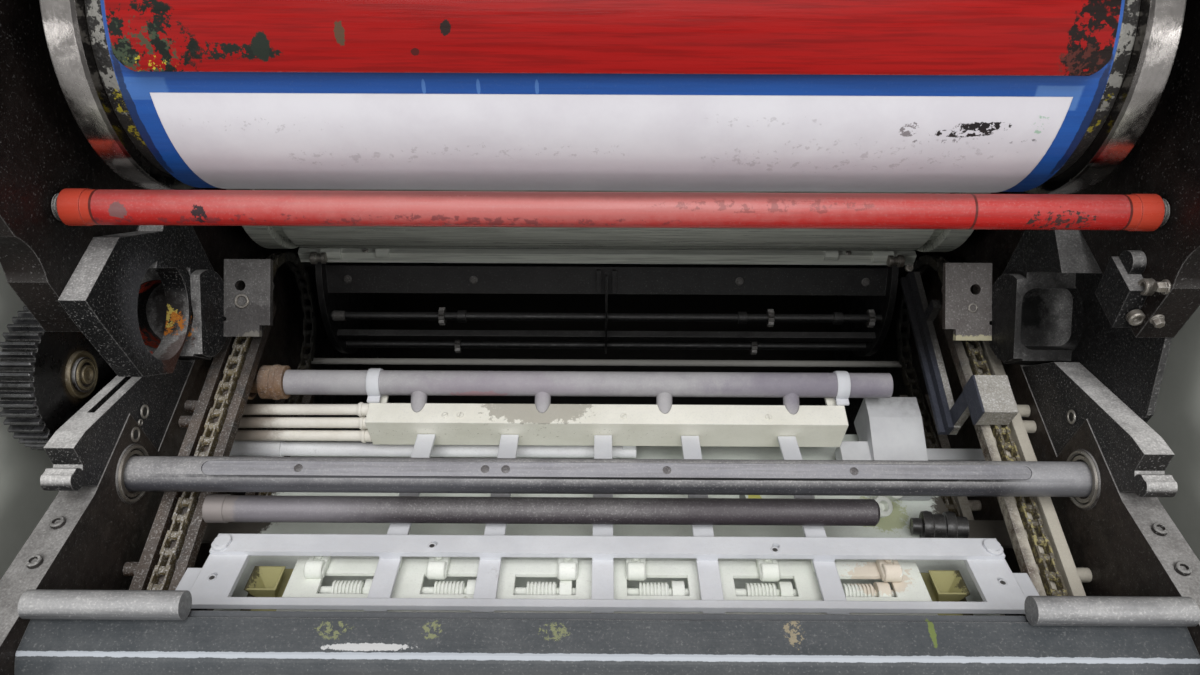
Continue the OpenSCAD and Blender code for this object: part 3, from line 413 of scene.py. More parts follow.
FINISHES = {finish.name: finish for finish in (
    Finish("cast_frame", "#0d0a09", "#1a1412", dirt=0.4, powder=0.48, speckle=0.12, grains=0.63, metal=0.05,
           gloss=0.22, relief=0.0007, patches=(
        Patch((0.0, -0.1, 0.66), (1.0, 0.24, 0.26), "#544a40", 0.55, soft=0.5, over=False),
        Patch((0.0, -0.3, 0.93), (0.4716, 0.12, 0.05), "#504842", 0.35, soft=0.4, square=True, over=False))),
    Finish("dark_casting", "#0f0f10", "#1a1a1c", powder=0.62, **CASTING, patches=(
        Patch((-0.476, -0.03, 0.95), (0.04, 0.05, 0.045), "#140d0b", 0.9, soft=0.2),
        Patch((-0.497, -0.012, 0.974), (0.016, 0.016, 0.014), "#b03c2a", ragged=0.9, scale=160.0, cut=0.44),
        Patch((-0.466, -0.055, 0.955), (0.02, 0.018, 0.02), "#c4782c", ragged=0.9, scale=160.0, cut=0.42),
        Patch((-0.47, -0.05, 0.968), (0.013, 0.014, 0.012), "#ceba60", ragged=0.9, scale=190.0, cut=0.5),
        Patch((-0.5, -0.056, 0.93), (0.03, 0.02, 0.016), "#a03a22", ragged=1.0, scale=150.0, cut=0.46),
        Patch((-0.446, -0.1, 0.962), (0.012, 0.03, 0.03), "#48281c", 0.6, ragged=0.9),
        Patch((-0.446, -0.1, 1.035), (0.02, 0.04, 0.05), "#68686c", 0.38, soft=0.5, ragged=0.8, scale=240.0),
        Patch((0.47, -0.1, 1.03), (0.06, 0.12, 0.12), "#121111", 0.55, soft=0.4),
        Patch((0.47, -0.045, 0.955), (0.06, 0.05, 0.055), "#121111", 0.8, soft=0.35),
        Patch((0.4735, -0.03, 0.957), (0.026, 0.03, 0.03), "#080808", 0.95, soft=0.1))),
    Finish("bracket_casting", "#202021", "#2e2c2b", powder=1.0, **CASTING, patches=(
        Patch((-0.47, -0.2, 0.95), (0.02, 0.07, 0.05), "#222226", 0.5, soft=0.4, over=False),)),
    Finish("base_paint", "#666c6c", "#606566", dirt=0.1, rough=0.45),
    Finish("cover_paint", "#c7c9c1", "#bec1b8", "#969286", dirt=0.12, powder=0.05, speckle=0.03, rough=0.4,
           relief=0.0001, edge_wear_and_glint=0.05, patches=(
        # Near-black box on the covers deep inside the bay, behind the drum: painted shade; the cover paint
        # stays pale elsewhere.
        Patch((0.0, 0.3, 0.72), (0.5, 0.1475, 0.67), "#221f1c", soft=0.004, ragged=0.0, square=True),)),
    Finish("beam_paint", "#22282d", "#2a3035", dirt=0.12, powder=0.08, speckle=0.09, grains=0.62, rough=0.4,
           grain=Axis.ACROSS, edge_wear_and_glint=0.35, patches=(
        Patch((0.0, -0.3765, 0.968), (0.7, 0.0035, 0.012), "#54565a", 0.5, ragged=0.9, scale=330.0),
        Patch((0.0, -0.4115, 0.9722), (0.7, 0.0028, 0.0028), "#a8adb4", 0.85, ragged=0.5, scale=90.0),
        Patch((0.0, -0.445, 0.95), (0.7, 0.03, 0.021), "#424142", 0.85, soft=0.3, ragged=0.2),
        Patch((-0.192, -0.4045, 0.972), (0.036, 0.003, 0.01), "#bebebe", 0.8, ragged=0.9, scale=200.0),
        *(Patch((x, -0.391, 0.972), (w, 0.007, 0.01), "#8a8e60", 0.55, ragged=0.9, scale=260.0, cut=0.5)
              for x, w in ((-0.222, 0.014), (-0.142, 0.008), (-0.042, 0.012))),
        Patch((0.15, -0.391, 0.972), (0.007, 0.011, 0.01), "#968a70", 0.7, ragged=1.0, scale=260.0, cut=0.48),
        Patch((0.262, -0.388, 0.972), (0.0025, 0.013, 0.01), "#6c7a36", 0.7, ragged=0.8, scale=260.0))),
    Finish("red_paint", "#901412", "#7c0d0d", "#420a0a", dirt=0.16, powder=0.0, gloss=0.12, speckle=0.0,
           rough=0.34, grain=Axis.ACROSS, streak=0.35, relief=0.0002, edge_wear_and_glint=0.2, patches=(
        Patch((-0.352, -0.072, 1.302), (0.036, 0.03, 0.034), "#181c18", ragged=0.8, scale=60.0, cut=0.49),
        Patch((-0.356, -0.072, 1.296), (0.026, 0.03, 0.022), GREEN_GREY, 0.9, ragged=0.8, scale=110.0,
              cut=0.52),
        Patch((-0.355, -0.072, 1.288), (0.024, 0.03, 0.006), YELLOW_INK, 0.8, ragged=0.8, scale=200.0,
              cut=0.57),
        Patch((-0.287, -0.072, 1.2965), (0.036, 0.03, 0.0055), "#1e221e", ragged=0.9, scale=90.0, cut=0.45),
        Patch((-0.264, -0.072, 1.3), (0.007, 0.03, 0.009), "#222822", ragged=0.7, scale=120.0),
        Patch((-0.204, -0.07, 1.309), (0.004, 0.03, 0.008), GREEN_GREY, 0.8, ragged=0.8, scale=160.0),
        Patch((-0.124, -0.07, 1.312), (0.004, 0.03, 0.005), "#281e1c", ragged=0.6, scale=160.0),
        Patch((-0.148, -0.07, 1.297), (0.003, 0.03, 0.0025), "#461a18", ragged=0.6, scale=160.0),
        Patch((0.366, -0.072, 1.3), (0.024, 0.03, 0.04), "#1c1412", ragged=0.9, cut=0.42),
        Patch((0.354, -0.072, 1.292), (0.018, 0.03, 0.01), "#542822", 0.7, ragged=0.9, scale=140.0, cut=0.5),
        # Dark line along the guard's lower edge: painted shade.
        Patch((0.0, -0.075, 1.2813), (0.5, 0.03, 0.0016), "#460c0c", 0.9, ragged=0.1))),
    Finish("orange_red_paint", "#ae201a", "#9c1915", "#421c1c", dirt=0.2, gloss=0.3, powder=0.1, speckle=0.05,
           rough=0.34, grain=Axis.ACROSS, streak=0.18, edge_wear_and_glint=0.2, patches=(
        # Pale pink band in the bar's middle: powder and a painted highlight.
        Patch((-0.06, -0.101, 1.176), (0.27, 0.03, 0.014), "#ac7470", 0.55, soft=0.5),
        # Darker band along the bar's top edge.
        Patch((0.0, -0.0965, 1.1815), (0.462, 0.0085, 0.004), "#542c2a", 0.75, soft=0.5, ragged=0.2),
        *both(Patch((0.455, -0.101, 1.165), (0.0195, 0.05, 0.05), "#ac3e2a", 0.8, soft=0.01, ragged=0.0,
              square=True)),
        *(Patch((x, -0.101, 1.165), (0.0011, 0.05, 0.05), "#461e1a", 0.9, soft=0.3, ragged=0.02, square=True)
              for x in (-0.4352, 0.4352, 0.3063)),
        Patch((-0.344, -0.115, 1.17), (0.006, 0.01, 0.009), "#2c1e22", ragged=0.8, scale=200.0, cut=0.43),
        Patch((-0.412, -0.112, 1.172), (0.008, 0.01, 0.006), "#605050", 0.8, ragged=0.8, scale=200.0),
        Patch((-0.2, -0.115, 1.164), (0.22, 0.01, 0.006), "#50282c", 0.6, ragged=1.0, scale=90.0, cut=0.52),
        Patch((0.38, -0.115, 1.168), (0.03, 0.012, 0.01), "#382220", ragged=0.9, scale=150.0, cut=0.52),
        Patch((0.13, -0.112, 1.178), (0.09, 0.01, 0.004), "#6e3c3a", 0.6, ragged=0.9, scale=90.0, cut=0.5))),
    Finish("plate_steel", "#464240", "#2e2b2a", dirt=0.45, powder=0.22, metal=0.1, relief=0.0008, patches=(
        Patch((0.41, 0.005, 0.936), (0.06, 0.06, 0.06), "#443a36", 0.65, soft=0.1, over=False),
        Patch((-0.41, -0.015, 0.916), (0.03, 0.03, 0.022), "#322e2e", 0.6, ragged=0.9),
        Patch((0.41, -0.03, 0.907), (0.06, 0.01, 0.008), "#b2ac8e", 0.85, ragged=0.7, scale=150.0),
        Patch((-0.395, -0.03, 0.907), (0.03, 0.01, 0.008), "#78746c", 0.7, ragged=0.9, scale=150.0))),
    Finish("rail_steel", "#342519", "#4e3a27", "#18110d", dirt=0.55, powder=0.2, speckle=0.3, grains=0.57,
           metal=0.1, rough=0.7, relief=0.0015, patches=(
        Patch((0.445, -0.2, 0.87), (0.035, 0.3, 0.2), "#c0baac", 0.85, soft=0.3, ragged=0.5),
        Patch((0.0, 0.02, 0.88), (0.6, 0.1, 0.2), "#1a1614", 0.85, soft=0.5, ragged=0.3))),
    Finish("chain_steel", "#5e502e", "#827144", "#281e12", dirt=0.45, powder=0.35, film=0.05, speckle=0.55,
           grains=0.55, metal=0.15, rough=0.6, relief=0.002, patches=(
        Patch((0.43, -0.15, 0.87), (0.03, 0.4, 0.3), "#2e281e", 0.6, soft=0.2, ragged=0.6, scale=120.0),
        Patch((0.43, -0.22, 0.88), (0.03, 0.2, 0.02), "#aaa06e", 0.8, ragged=0.8, scale=160.0, cut=0.53),
        # Near-black over the chains' rear turn and lower run: dark oily steel and painted shade.
        Patch((0.0, 0.2, 0.78), (0.6, 0.3, 0.25), "#0a0a09", 0.97, soft=0.25, ragged=0.2))),
    Finish("slotted_steel", "#505056", "#404045", dirt=0.2, powder=0.65, speckle=0.18, metal=0.4, rough=0.42,
           grain=Axis.ACROSS, streak=0.2, patches=(
        # Near-black lower half of the shaft: painted shade.
        Patch((0.0, -0.215, 0.901), (0.39, 0.03, 0.022), "#100f11", 0.93, soft=0.3, ragged=0.25),
        Patch((0.0085, -0.2251, 0.932), (0.404, 0.0012, 0.0012), "#080809", soft=0.2, ragged=0.3,
              square=True),
        Patch((0.44, -0.215, 0.92), (0.05, 0.04, 0.04), "#96969a", 0.6, soft=0.4, ragged=0.2),
        Patch((-0.26, -0.215, 0.92), (0.16, 0.04, 0.04), "#78787e", 0.3, soft=0.6, ragged=0.3),
        Patch((-0.43, -0.215, 0.905), (0.04, 0.03, 0.012), "#1e1c1e", 0.7, ragged=0.6))),
    Finish("key_steel", "#8c8c93", "#707077", dirt=0.15, powder=0.25, speckle=0.15, metal=0.5, rough=0.4,
           grain=Axis.ACROSS, streak=0.25, edge_wear_and_glint=0.2),
    Finish("dusty_steel", "#302a2e", "#423c41", powder=0.22, speckle=0.16, metal=0.25, grain=Axis.ACROSS,
           streak=0.2, patches=(
        Patch((-0.36, -0.227, 0.872), (0.12, 0.03, 0.03), "#969298", 0.6, soft=0.5, ragged=0.2),
        Patch((-0.394, -0.227, 0.87), (0.02, 0.03, 0.03), "#968e8a", 0.8, soft=0.1, ragged=0.3),
        Patch((0.16, -0.227, 0.87), (0.13, 0.03, 0.03), "#383036", 0.55, soft=0.4, ragged=0.5))),
    Finish("white_paint", "#d8dadf", "#caccd2", "#7e7672", film=0.05, **WHITE_DUST, patches=(
        Patch((-0.44, -0.1, 0.76), (0.06, 0.2, 0.1), "#786854", 0.6, soft=0.5, ragged=0.6),)),
    Finish("tube_paint", "#a4a2a5", "#8c888e", "#685a5c", **WHITE_DUST, patches=(
        Patch((0.25, -0.05, 0.842), (0.12, 0.03, 0.012), "#70687a", 0.6, soft=0.5, ragged=0.7, scale=40.0),
        Patch((-0.12, -0.05, 0.842), (0.1, 0.03, 0.01), "#968c98", 0.5, soft=0.5, ragged=0.8, scale=50.0),
        Patch((-0.15, -0.05, 0.83), (0.03, 0.03, 0.008), "#aa787e", 0.5, ragged=0.9))),
    Finish("cream_paint", "#f0eee2", "#e4e2d4", "#8c8470", **WHITE_DUST, patches=(
        Patch((-0.08, -0.07, 0.826), (0.06, 0.02, 0.003), "#807a6c", 0.6, ragged=0.9, scale=90.0),
        Patch((-0.1, -0.09, 0.806), (0.2, 0.01, 0.012), "#968e78", 0.5, ragged=0.9, scale=200.0, cut=0.6))),
    Finish("white_plastic", "#f0f3ec", "#e4e8de", "#96927c", **WHITE_DUST, patches=(
        *both(Patch((0.345, -0.3, 0.83), (0.032, 0.09, 0.09), "#968e4a", 0.85, soft=0.15, ragged=0.5)),
        *both(Patch((0.362, -0.3, 0.845), (0.012, 0.05, 0.05), "#322c26", 0.8, ragged=0.8, scale=120.0)),
        Patch((0.27, -0.29, 0.858), (0.03, 0.02, 0.02), "#ceb498", 0.5, ragged=0.9, scale=140.0))),
    Finish("guide_paint", "#eaf0e8", "#dce4da", "#8c8870", **WHITE_DUST, patches=(
        *(Patch((x, -0.15, 0.757), (w, 0.02, 0.02), c, 0.8)
              for x, w, c in ((0.162, 0.004, "#1e1e1a"), (0.176, 0.008, "#c4be28"),
              (0.232, 0.006, "#6e8228"))),
        *both(Patch((0.43, -0.18, 0.768), (0.05, 0.06, 0.05), "#3c3026", 0.9, ragged=0.5)),
        Patch((0.32, -0.17, 0.766), (0.028, 0.03, 0.03), "#a8ae5c", 0.55, ragged=1.0, scale=110.0))),
    Finish("duct_paint", "#c4c6c8", "#b4b5b9", "#78706e", **WHITE_DUST, patches=(
        Patch((0.37, 0.03, 0.83), (0.06, 0.07, 0.07), "#423e3e", 0.8, soft=0.5),)),
    Finish("perished_rubber", "#a0805e", "#74543a", "#34241a", dirt=0.45, powder=0.25, film=0.05, speckle=0.3,
           rough=0.85, relief=0.004),
    Finish("hose_plastic", "#eeeae0", "#ded8cc", "#78644e", dirt=0.2, film=0.05, speckle=0.1, rough=0.6,
           patches=(
        Patch((-0.45, -0.08, 0.79), (0.05, 0.05, 0.06), "#78604a", 0.6, soft=0.4, ragged=0.6),)),
    Finish("gear_iron", "#767679", "#3a3a3c", dirt=0.4, powder=0.0, speckle=0.05, metal=0.9, rough=0.3,
           patches=(
        Patch((-0.5275, -0.151, 0.995), (1.0, 0.0685, 0.0685), "#0e0d0d", soft=0.02, ragged=0.0, over=False,
              metal=0.3),
        Patch((-0.5275, -0.151, 0.995), (1.0, 0.026, 0.026), "#3c3224", 0.7, soft=0.15, ragged=0.25,
              over=False))),
    Finish("silver_steel", "#c4c6bc", "#a0a398", dirt=0.2, powder=0.0, speckle=0.05, metal=0.35, rough=0.3,
           grain=Axis.ACROSS, streak=0.35, edge_wear_and_glint=0.2),
    Finish("groove_steel", "#343230", "#1c1a19", BLACK, dirt=0.5, powder=0.0, speckle=0.12, metal=0.3,
           rough=0.45, relief=0.0012, edge_wear_and_glint=0.4, edge="#78746c", patches=(
        *both(Patch((0.396, -0.06, 1.3), (0.01, 0.06, 0.07), "#96948e", 0.85, ragged=0.9, cut=0.5)),
        Patch((-0.394, -0.075, 1.225), (0.008, 0.03, 0.03), YELLOW_INK, 0.9, ragged=0.9, scale=120.0,
              cut=0.52),
        Patch((0.394, -0.075, 1.235), (0.008, 0.03, 0.025), YELLOW_INK, 0.7, ragged=0.9, scale=120.0,
              cut=0.55))),
    Finish("bearer_chrome", "#c2bdb9", "#aca7a3", dirt=0.12, powder=0.0, speckle=0.02, metal=1.0, rough=0.16,
           streak=0.1, edge_wear_and_glint=0.1, relief=0.0001, patches=(
        *both(Patch((0.4065, -0.06, 1.26), (0.0028, 0.2, 0.2), "#282422", 0.7, scale=90.0)),)),
    Finish("blanket_rubber", "#1a529e", "#144288", "#0a1c42", dirt=0.12, powder=0.0, speckle=0.02, rough=0.42,
           grain=Axis.ACROSS, streak=0.12, edge_wear_and_glint=0.1, patches=(
        # Dark band just under the guard's lower edge: painted shadow of the guard.
        Patch((0.0, -0.07, 1.278), (0.4, 0.03, 0.005), "#0c285c", 0.7, soft=0.5, ragged=0.1),
        Patch((-0.37, -0.07, 1.2625), (0.021, 0.03, 0.009), "#608cc4", 0.3, ragged=0.08, square=True),
        Patch((0.352, -0.07, 1.258), (0.018, 0.03, 0.01), "#6e96c8", 0.35, ragged=0.08, square=True),
        *(Patch((x, -0.07, 1.265), (0.0016, 0.03, 0.006), "#608cc8", 0.45, ragged=0.3)
              for x in (-0.147, -0.104, -0.058)),
        *both(Patch((0.384, -0.07, 1.23), (0.004, 0.06, 0.06), "#0a1634", 0.8, ragged=0.6)))),
    Finish("white_sheet", "#d3d1d6", "#cbc8ce", "#a8a2a8", dirt=0.06, powder=0.0, speckle=0.0, rough=0.6,
           relief=0.0001, edge_wear_and_glint=0.0, patches=(
        # Pinkish tint on the sheet's lower part, next to the red bar: painted reflection of the bar.
        Patch((0.0, -0.06, 1.165), (0.5, 0.06, 0.03), "#cec4d0", 0.4, soft=0.7, ragged=0.15),
        Patch((0.302, -0.075, 1.2335), (0.022, 0.03, 0.0045), "#181416", ragged=0.8, scale=130.0, cut=0.46),
        Patch((0.286, -0.075, 1.2265), (0.026, 0.03, 0.0035), "#221c1c", ragged=0.8, scale=130.0, cut=0.49),
        Patch((0.243, -0.075, 1.23), (0.008, 0.03, 0.007), "#60585a", 0.8, ragged=0.9, scale=130.0, cut=0.52),
        Patch((0.3, -0.075, 1.219), (0.05, 0.03, 0.003), "#464042", 0.7, ragged=0.9, scale=170.0, cut=0.56),
        Patch((0.347, -0.075, 1.236), (0.006, 0.03, 0.009), "#58a06c", 0.55, ragged=0.9, scale=190.0,
              cut=0.52),
        *(Patch((x, -0.075, z), (w, 0.03, h), "#80787c", 0.28, ragged=1.0, scale=120.0, cut=0.57)
              for x, z, w, h in ((-0.28, 1.232, 0.06, 0.008), (-0.08, 1.205, 0.09, 0.008),
              (0.12, 1.238, 0.05, 0.006), (0.2, 1.2, 0.12, 0.02), (-0.22, 1.195, 0.06, 0.01))))),
    Finish("drum_iron", "#0f0f0f", "#181718", BLACK, powder=0.07, speckle=0.08, grains=0.62, metal=0.15,
           rough=0.45, edge_wear_and_glint=0.4, edge="#787674", patches=(
        Patch((-0.2, 0.19, 0.79), (0.22, 0.05, 0.06), "#262323", 0.6, soft=0.5, ragged=0.6, over=False),)),
    Finish("wheel_iron", "#54514e", "#383533", BLACK, dirt=0.2, speckle=0.15, metal=0.4, rough=0.45, edge_wear_and_glint=0.6,
           edge="#969490"),
    Finish("gripper_steel", "#e2e5db", "#c8cbc1", dirt=0.2, powder=0.2, speckle=0.1, metal=0.05,
           grain=Axis.ACROSS, streak=0.3, edge_wear_and_glint=0.4),
    Finish("cam_steel", "#969288", "#6e685e", dirt=0.35, powder=0.4, speckle=0.5, grains=0.54, rough=0.7,
           relief=0.003, patches=(
        Patch((0.392, -0.03, 0.84), (0.0065, 0.2, 0.1), "#3a3e4c", 0.95, ragged=0.1, square=True, metal=0.5),
        Patch((0.4, 0.1, 0.84), (0.06, 0.11, 0.1), "#141212", 0.9, soft=0.4, ragged=0.3))),
    Finish("bar_steel", "#747577", "#5c5d5f", dirt=0.2, powder=0.45, metal=0.4, rough=0.42, grain=Axis.ACROSS,
           streak=0.3, edge_wear_and_glint=0.4),
    Finish("rear_rod", "#ecedf0", "#dcdce1", "#645a54", dirt=0.2, powder=0.4, film=0.1, rough=0.6, patches=(
        Patch((0.0, 0.177, 0.603), (0.6, 0.05, 0.05), "#787464", 0.7, soft=0.1, ragged=0.7, scale=50.0),)),
    Finish("bright_rim", "#96928a", "#70685e", dirt=0.25, powder=0.2, speckle=0.1, metal=0.7, rough=0.35,
           edge_wear_and_glint=0.5),
    Finish("dark_bolt", "#3e3b39", "#2a2726", powder=0.45, speckle=0.3, metal=0.4, rough=0.45, edge_wear_and_glint=0.6,
           edge="#aaa8a4"),
    Finish("oily_black", "#100f0f", "#181615", dirt=0.2, powder=0.1, speckle=0.05, rough=0.35),
    Finish("brass_hub", "#706348", "#4c4230", dirt=0.35, powder=0.1, speckle=0.15, metal=0.5, rough=0.45,
           edge_wear_and_glint=0.6, edge="#aaa082"),
)}

# Nodes of the part that each finish goes on.
NODES = {
    "cast_frame": ("left_side_frame", "right_side_frame", "gear_bracket"),
    "base_paint": ("base_frame", "front_panel"),
    "beam_paint": ("front_crossbeam",),
    "cover_paint": ("upper_housing", "rear_cover", "left_outer_cover", "right_outer_cover"),
    "red_paint": ("cylinder_guard",),
    "orange_red_paint": ("safety_bar",),
    "dark_casting": ("left_bearing_block", "right_bearing_block"),
    "bracket_casting": ("left_bracket_arm", "right_bracket_arm"),
    "plate_steel": ("left_mounting_plate", "right_mounting_plate"),
    "rail_steel": ("left_chain_rail", "right_chain_rail"),
    "chain_steel": ("left_chain", "right_chain"),
    "gripper_steel": ("gripper_bar",),
    "tube_paint": ("air_tube",),
    "perished_rubber": ("tube_coupling",),
    "cream_paint": ("air_box",),
    "hose_plastic": ("air_hoses",),
    "rear_rod": ("support_bar",),
    "slotted_steel": ("slotted_shaft",),
    "key_steel": ("shaft_key_strip",),
    "dusty_steel": ("lower_shaft",),
    "white_paint": ("guide_ladder",),
    "white_plastic": ("suction_channel", "suction_rollers"),
    "guide_paint": ("guide_plate",),
    "duct_paint": ("side_duct",),
    "cam_steel": ("cam_bar",),
    "bar_steel": ("corner_rollers",),
    "gear_iron": ("idler_gear",),
    "groove_steel": ("blanket_cylinder",),
    "bearer_chrome": ("bearer_rings",),
    "blanket_rubber": ("blanket",),
    "white_sheet": ("cover_sheet",),
    "silver_steel": ("impression_cylinder",),
    "drum_iron": ("delivery_drum",),
    "wheel_iron": ("star_wheels",),
}


class Paint:
    """Finishes that are already made, so that each is made once."""
    made: dict[str, bpy.types.Material] = {}

    @classmethod
    def on(cls, item: Piece, name: str) -> None:
        """Puts a finish on a piece, in place of what it had.

        Args:
            item: The piece.
            name: Name of the finish.
        """
        if name not in cls.made:
            cls.made[name] = FINISHES[name].build()
        item.data.materials.clear()
        item.data.materials.append(cls.made[name])


@dataclass(frozen=True)
class Lamp:
    """One square area lamp: its place and what it points at in metres, its width and its watts."""
    name: str
    place: Point
    aim: Point
    size: float
    power: float

    def build(self) -> None:
        """Adds the lamp."""
        data = bpy.data.lights.new(self.name, "AREA")
        data.size = self.size
        data.energy = self.power
        item = bpy.data.objects.new(self.name, data)
        bpy.context.collection.objects.link(item)
        item.location = self.place
        item.rotation_euler = (Vector(self.aim) - Vector(self.place)).to_track_quat("-Z", "Y").to_euler()


@dataclass
class Studio:
    """Pale floor, soft lamps and the camera at the photograph's place.

    Attributes:
        lens: Focal length in millimetres on film of the width below.
        film: Width of that film.
        near: Nearest distance in metres that the camera sees.
        stand: Camera's place in metres.
        tilt: How far it looks up from straight down, in degrees.
        turn: How far it looks to the left.
        roll: How far it leans.
        fill: Even light from all round.
        white: Colour of that light and of what is seen behind the press.
        lamps: The lamps.
        floor_size: Width of the floor in metres.
        floor_paint: Finish of the floor.
    """
    lens: float = 25.5
    film: float = 36.0
    near: float = 0.01
    stand: Point = (-0.0056, -0.650, 1.650)
    tilt: float = 40.0
    turn: float = 0.24
    roll: float = 0.13
    fill: float = 0.45
    white: tuple[float, float, float, float] = (1.0, 1.0, 1.0, 1.0)
    lamps: tuple[Lamp, ...] = (
        Lamp("key_lamp", (0.0, -1.9, 5.4), (0.0, -0.2, 0.9), 2.9, 215.0),
        Lamp("left_lamp", (-2.4, -1.5, 1.9), (0.0, -0.1, 0.9), 1.4, 24.0),
        Lamp("right_lamp", (2.4, -1.5, 1.9), (0.0, -0.1, 0.9), 1.4, 24.0))
    floor_size: float = 24.0
    floor_paint: Finish = Finish("floor_paint", "#cececc", "#ccccca", "#cacac8", dirt=0.0, powder=0.0,
                                 speckle=0.0, rough=0.7, relief=0.0, edge_wear_and_glint=0.0)

    def camera(self) -> None:
        """Adds the camera."""
        data = bpy.data.cameras.new("photo_camera")
        data.lens = self.lens
        data.sensor_width = self.film
        data.clip_start = self.near
        item = bpy.data.objects.new("photo_camera", data)
        bpy.context.collection.objects.link(item)
        item.location = self.stand
        item.rotation_euler = (math.radians(self.tilt), 0.0, math.radians(self.turn))
        item.rotation_euler.rotate_axis("Z", math.radians(self.roll))
        bpy.context.scene.camera = item

    def world(self) -> None:
        """Lights the scene evenly and shows white behind it."""
        world = bpy.data.worlds.new("studio")
        bpy.context.scene.world = world
        world.use_nodes = True
        tree = world.node_tree
        back = tree.nodes["Background"]
        back.inputs["Color"].default_value = self.white
        path = tree.nodes.new("ShaderNodeLightPath")
        seen = tree.nodes.new("ShaderNodeMath")
        seen.operation = "MAXIMUM"
        tree.links.new(path.outputs["Is Camera Ray"], seen.inputs[0])
        tree.links.new(path.outputs["Is Transmission Ray"], seen.inputs[1])
        level = tree.nodes.new("ShaderNodeMapRange")
        level.inputs["To Min"].default_value = self.fill
        tree.links.new(seen.outputs[0], level.inputs[0])
        tree.links.new(level.outputs[0], back.inputs["Strength"])

    def floor(self) -> None:
        """Adds the plain pale floor."""
        Bench.start()
        bpy.ops.mesh.primitive_plane_add(size=self.floor_size)
        plane = bpy.context.object
        plane.name = "studio_floor"
        plane.data.materials.append(self.floor_paint.build())

    def build(self) -> None:
        """Adds all of the studio."""
        self.camera()
        self.world()
        self.floor()
        for lamp in self.lamps:
            lamp.build()


@dataclass(frozen=True)
class PackedSolids:
    """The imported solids, which keep their shape and get their finish."""
    finishes: tuple[tuple[str, tuple[str, ...]], ...] = tuple(NODES.items())

    def dress(self) -> None:
        """Puts each node's finish on it."""
        finish_of = {node: finish for finish, nodes in self.finishes for node in nodes}
        for name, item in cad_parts.items():
            Paint.on(item, finish_of[name])
            LOG.info("dressed %s", name)


UP = (0.0, 0.0, 1.0)
SAME_WAY = 0.98                  # least cosine between a face and the way that it looks
SAME_HEIGHT = 1e-5               # metres
SAME_PLACE = 1e-6
SMOOTH_BELOW = math.radians(32)  # bend below which a surface is shaded smooth


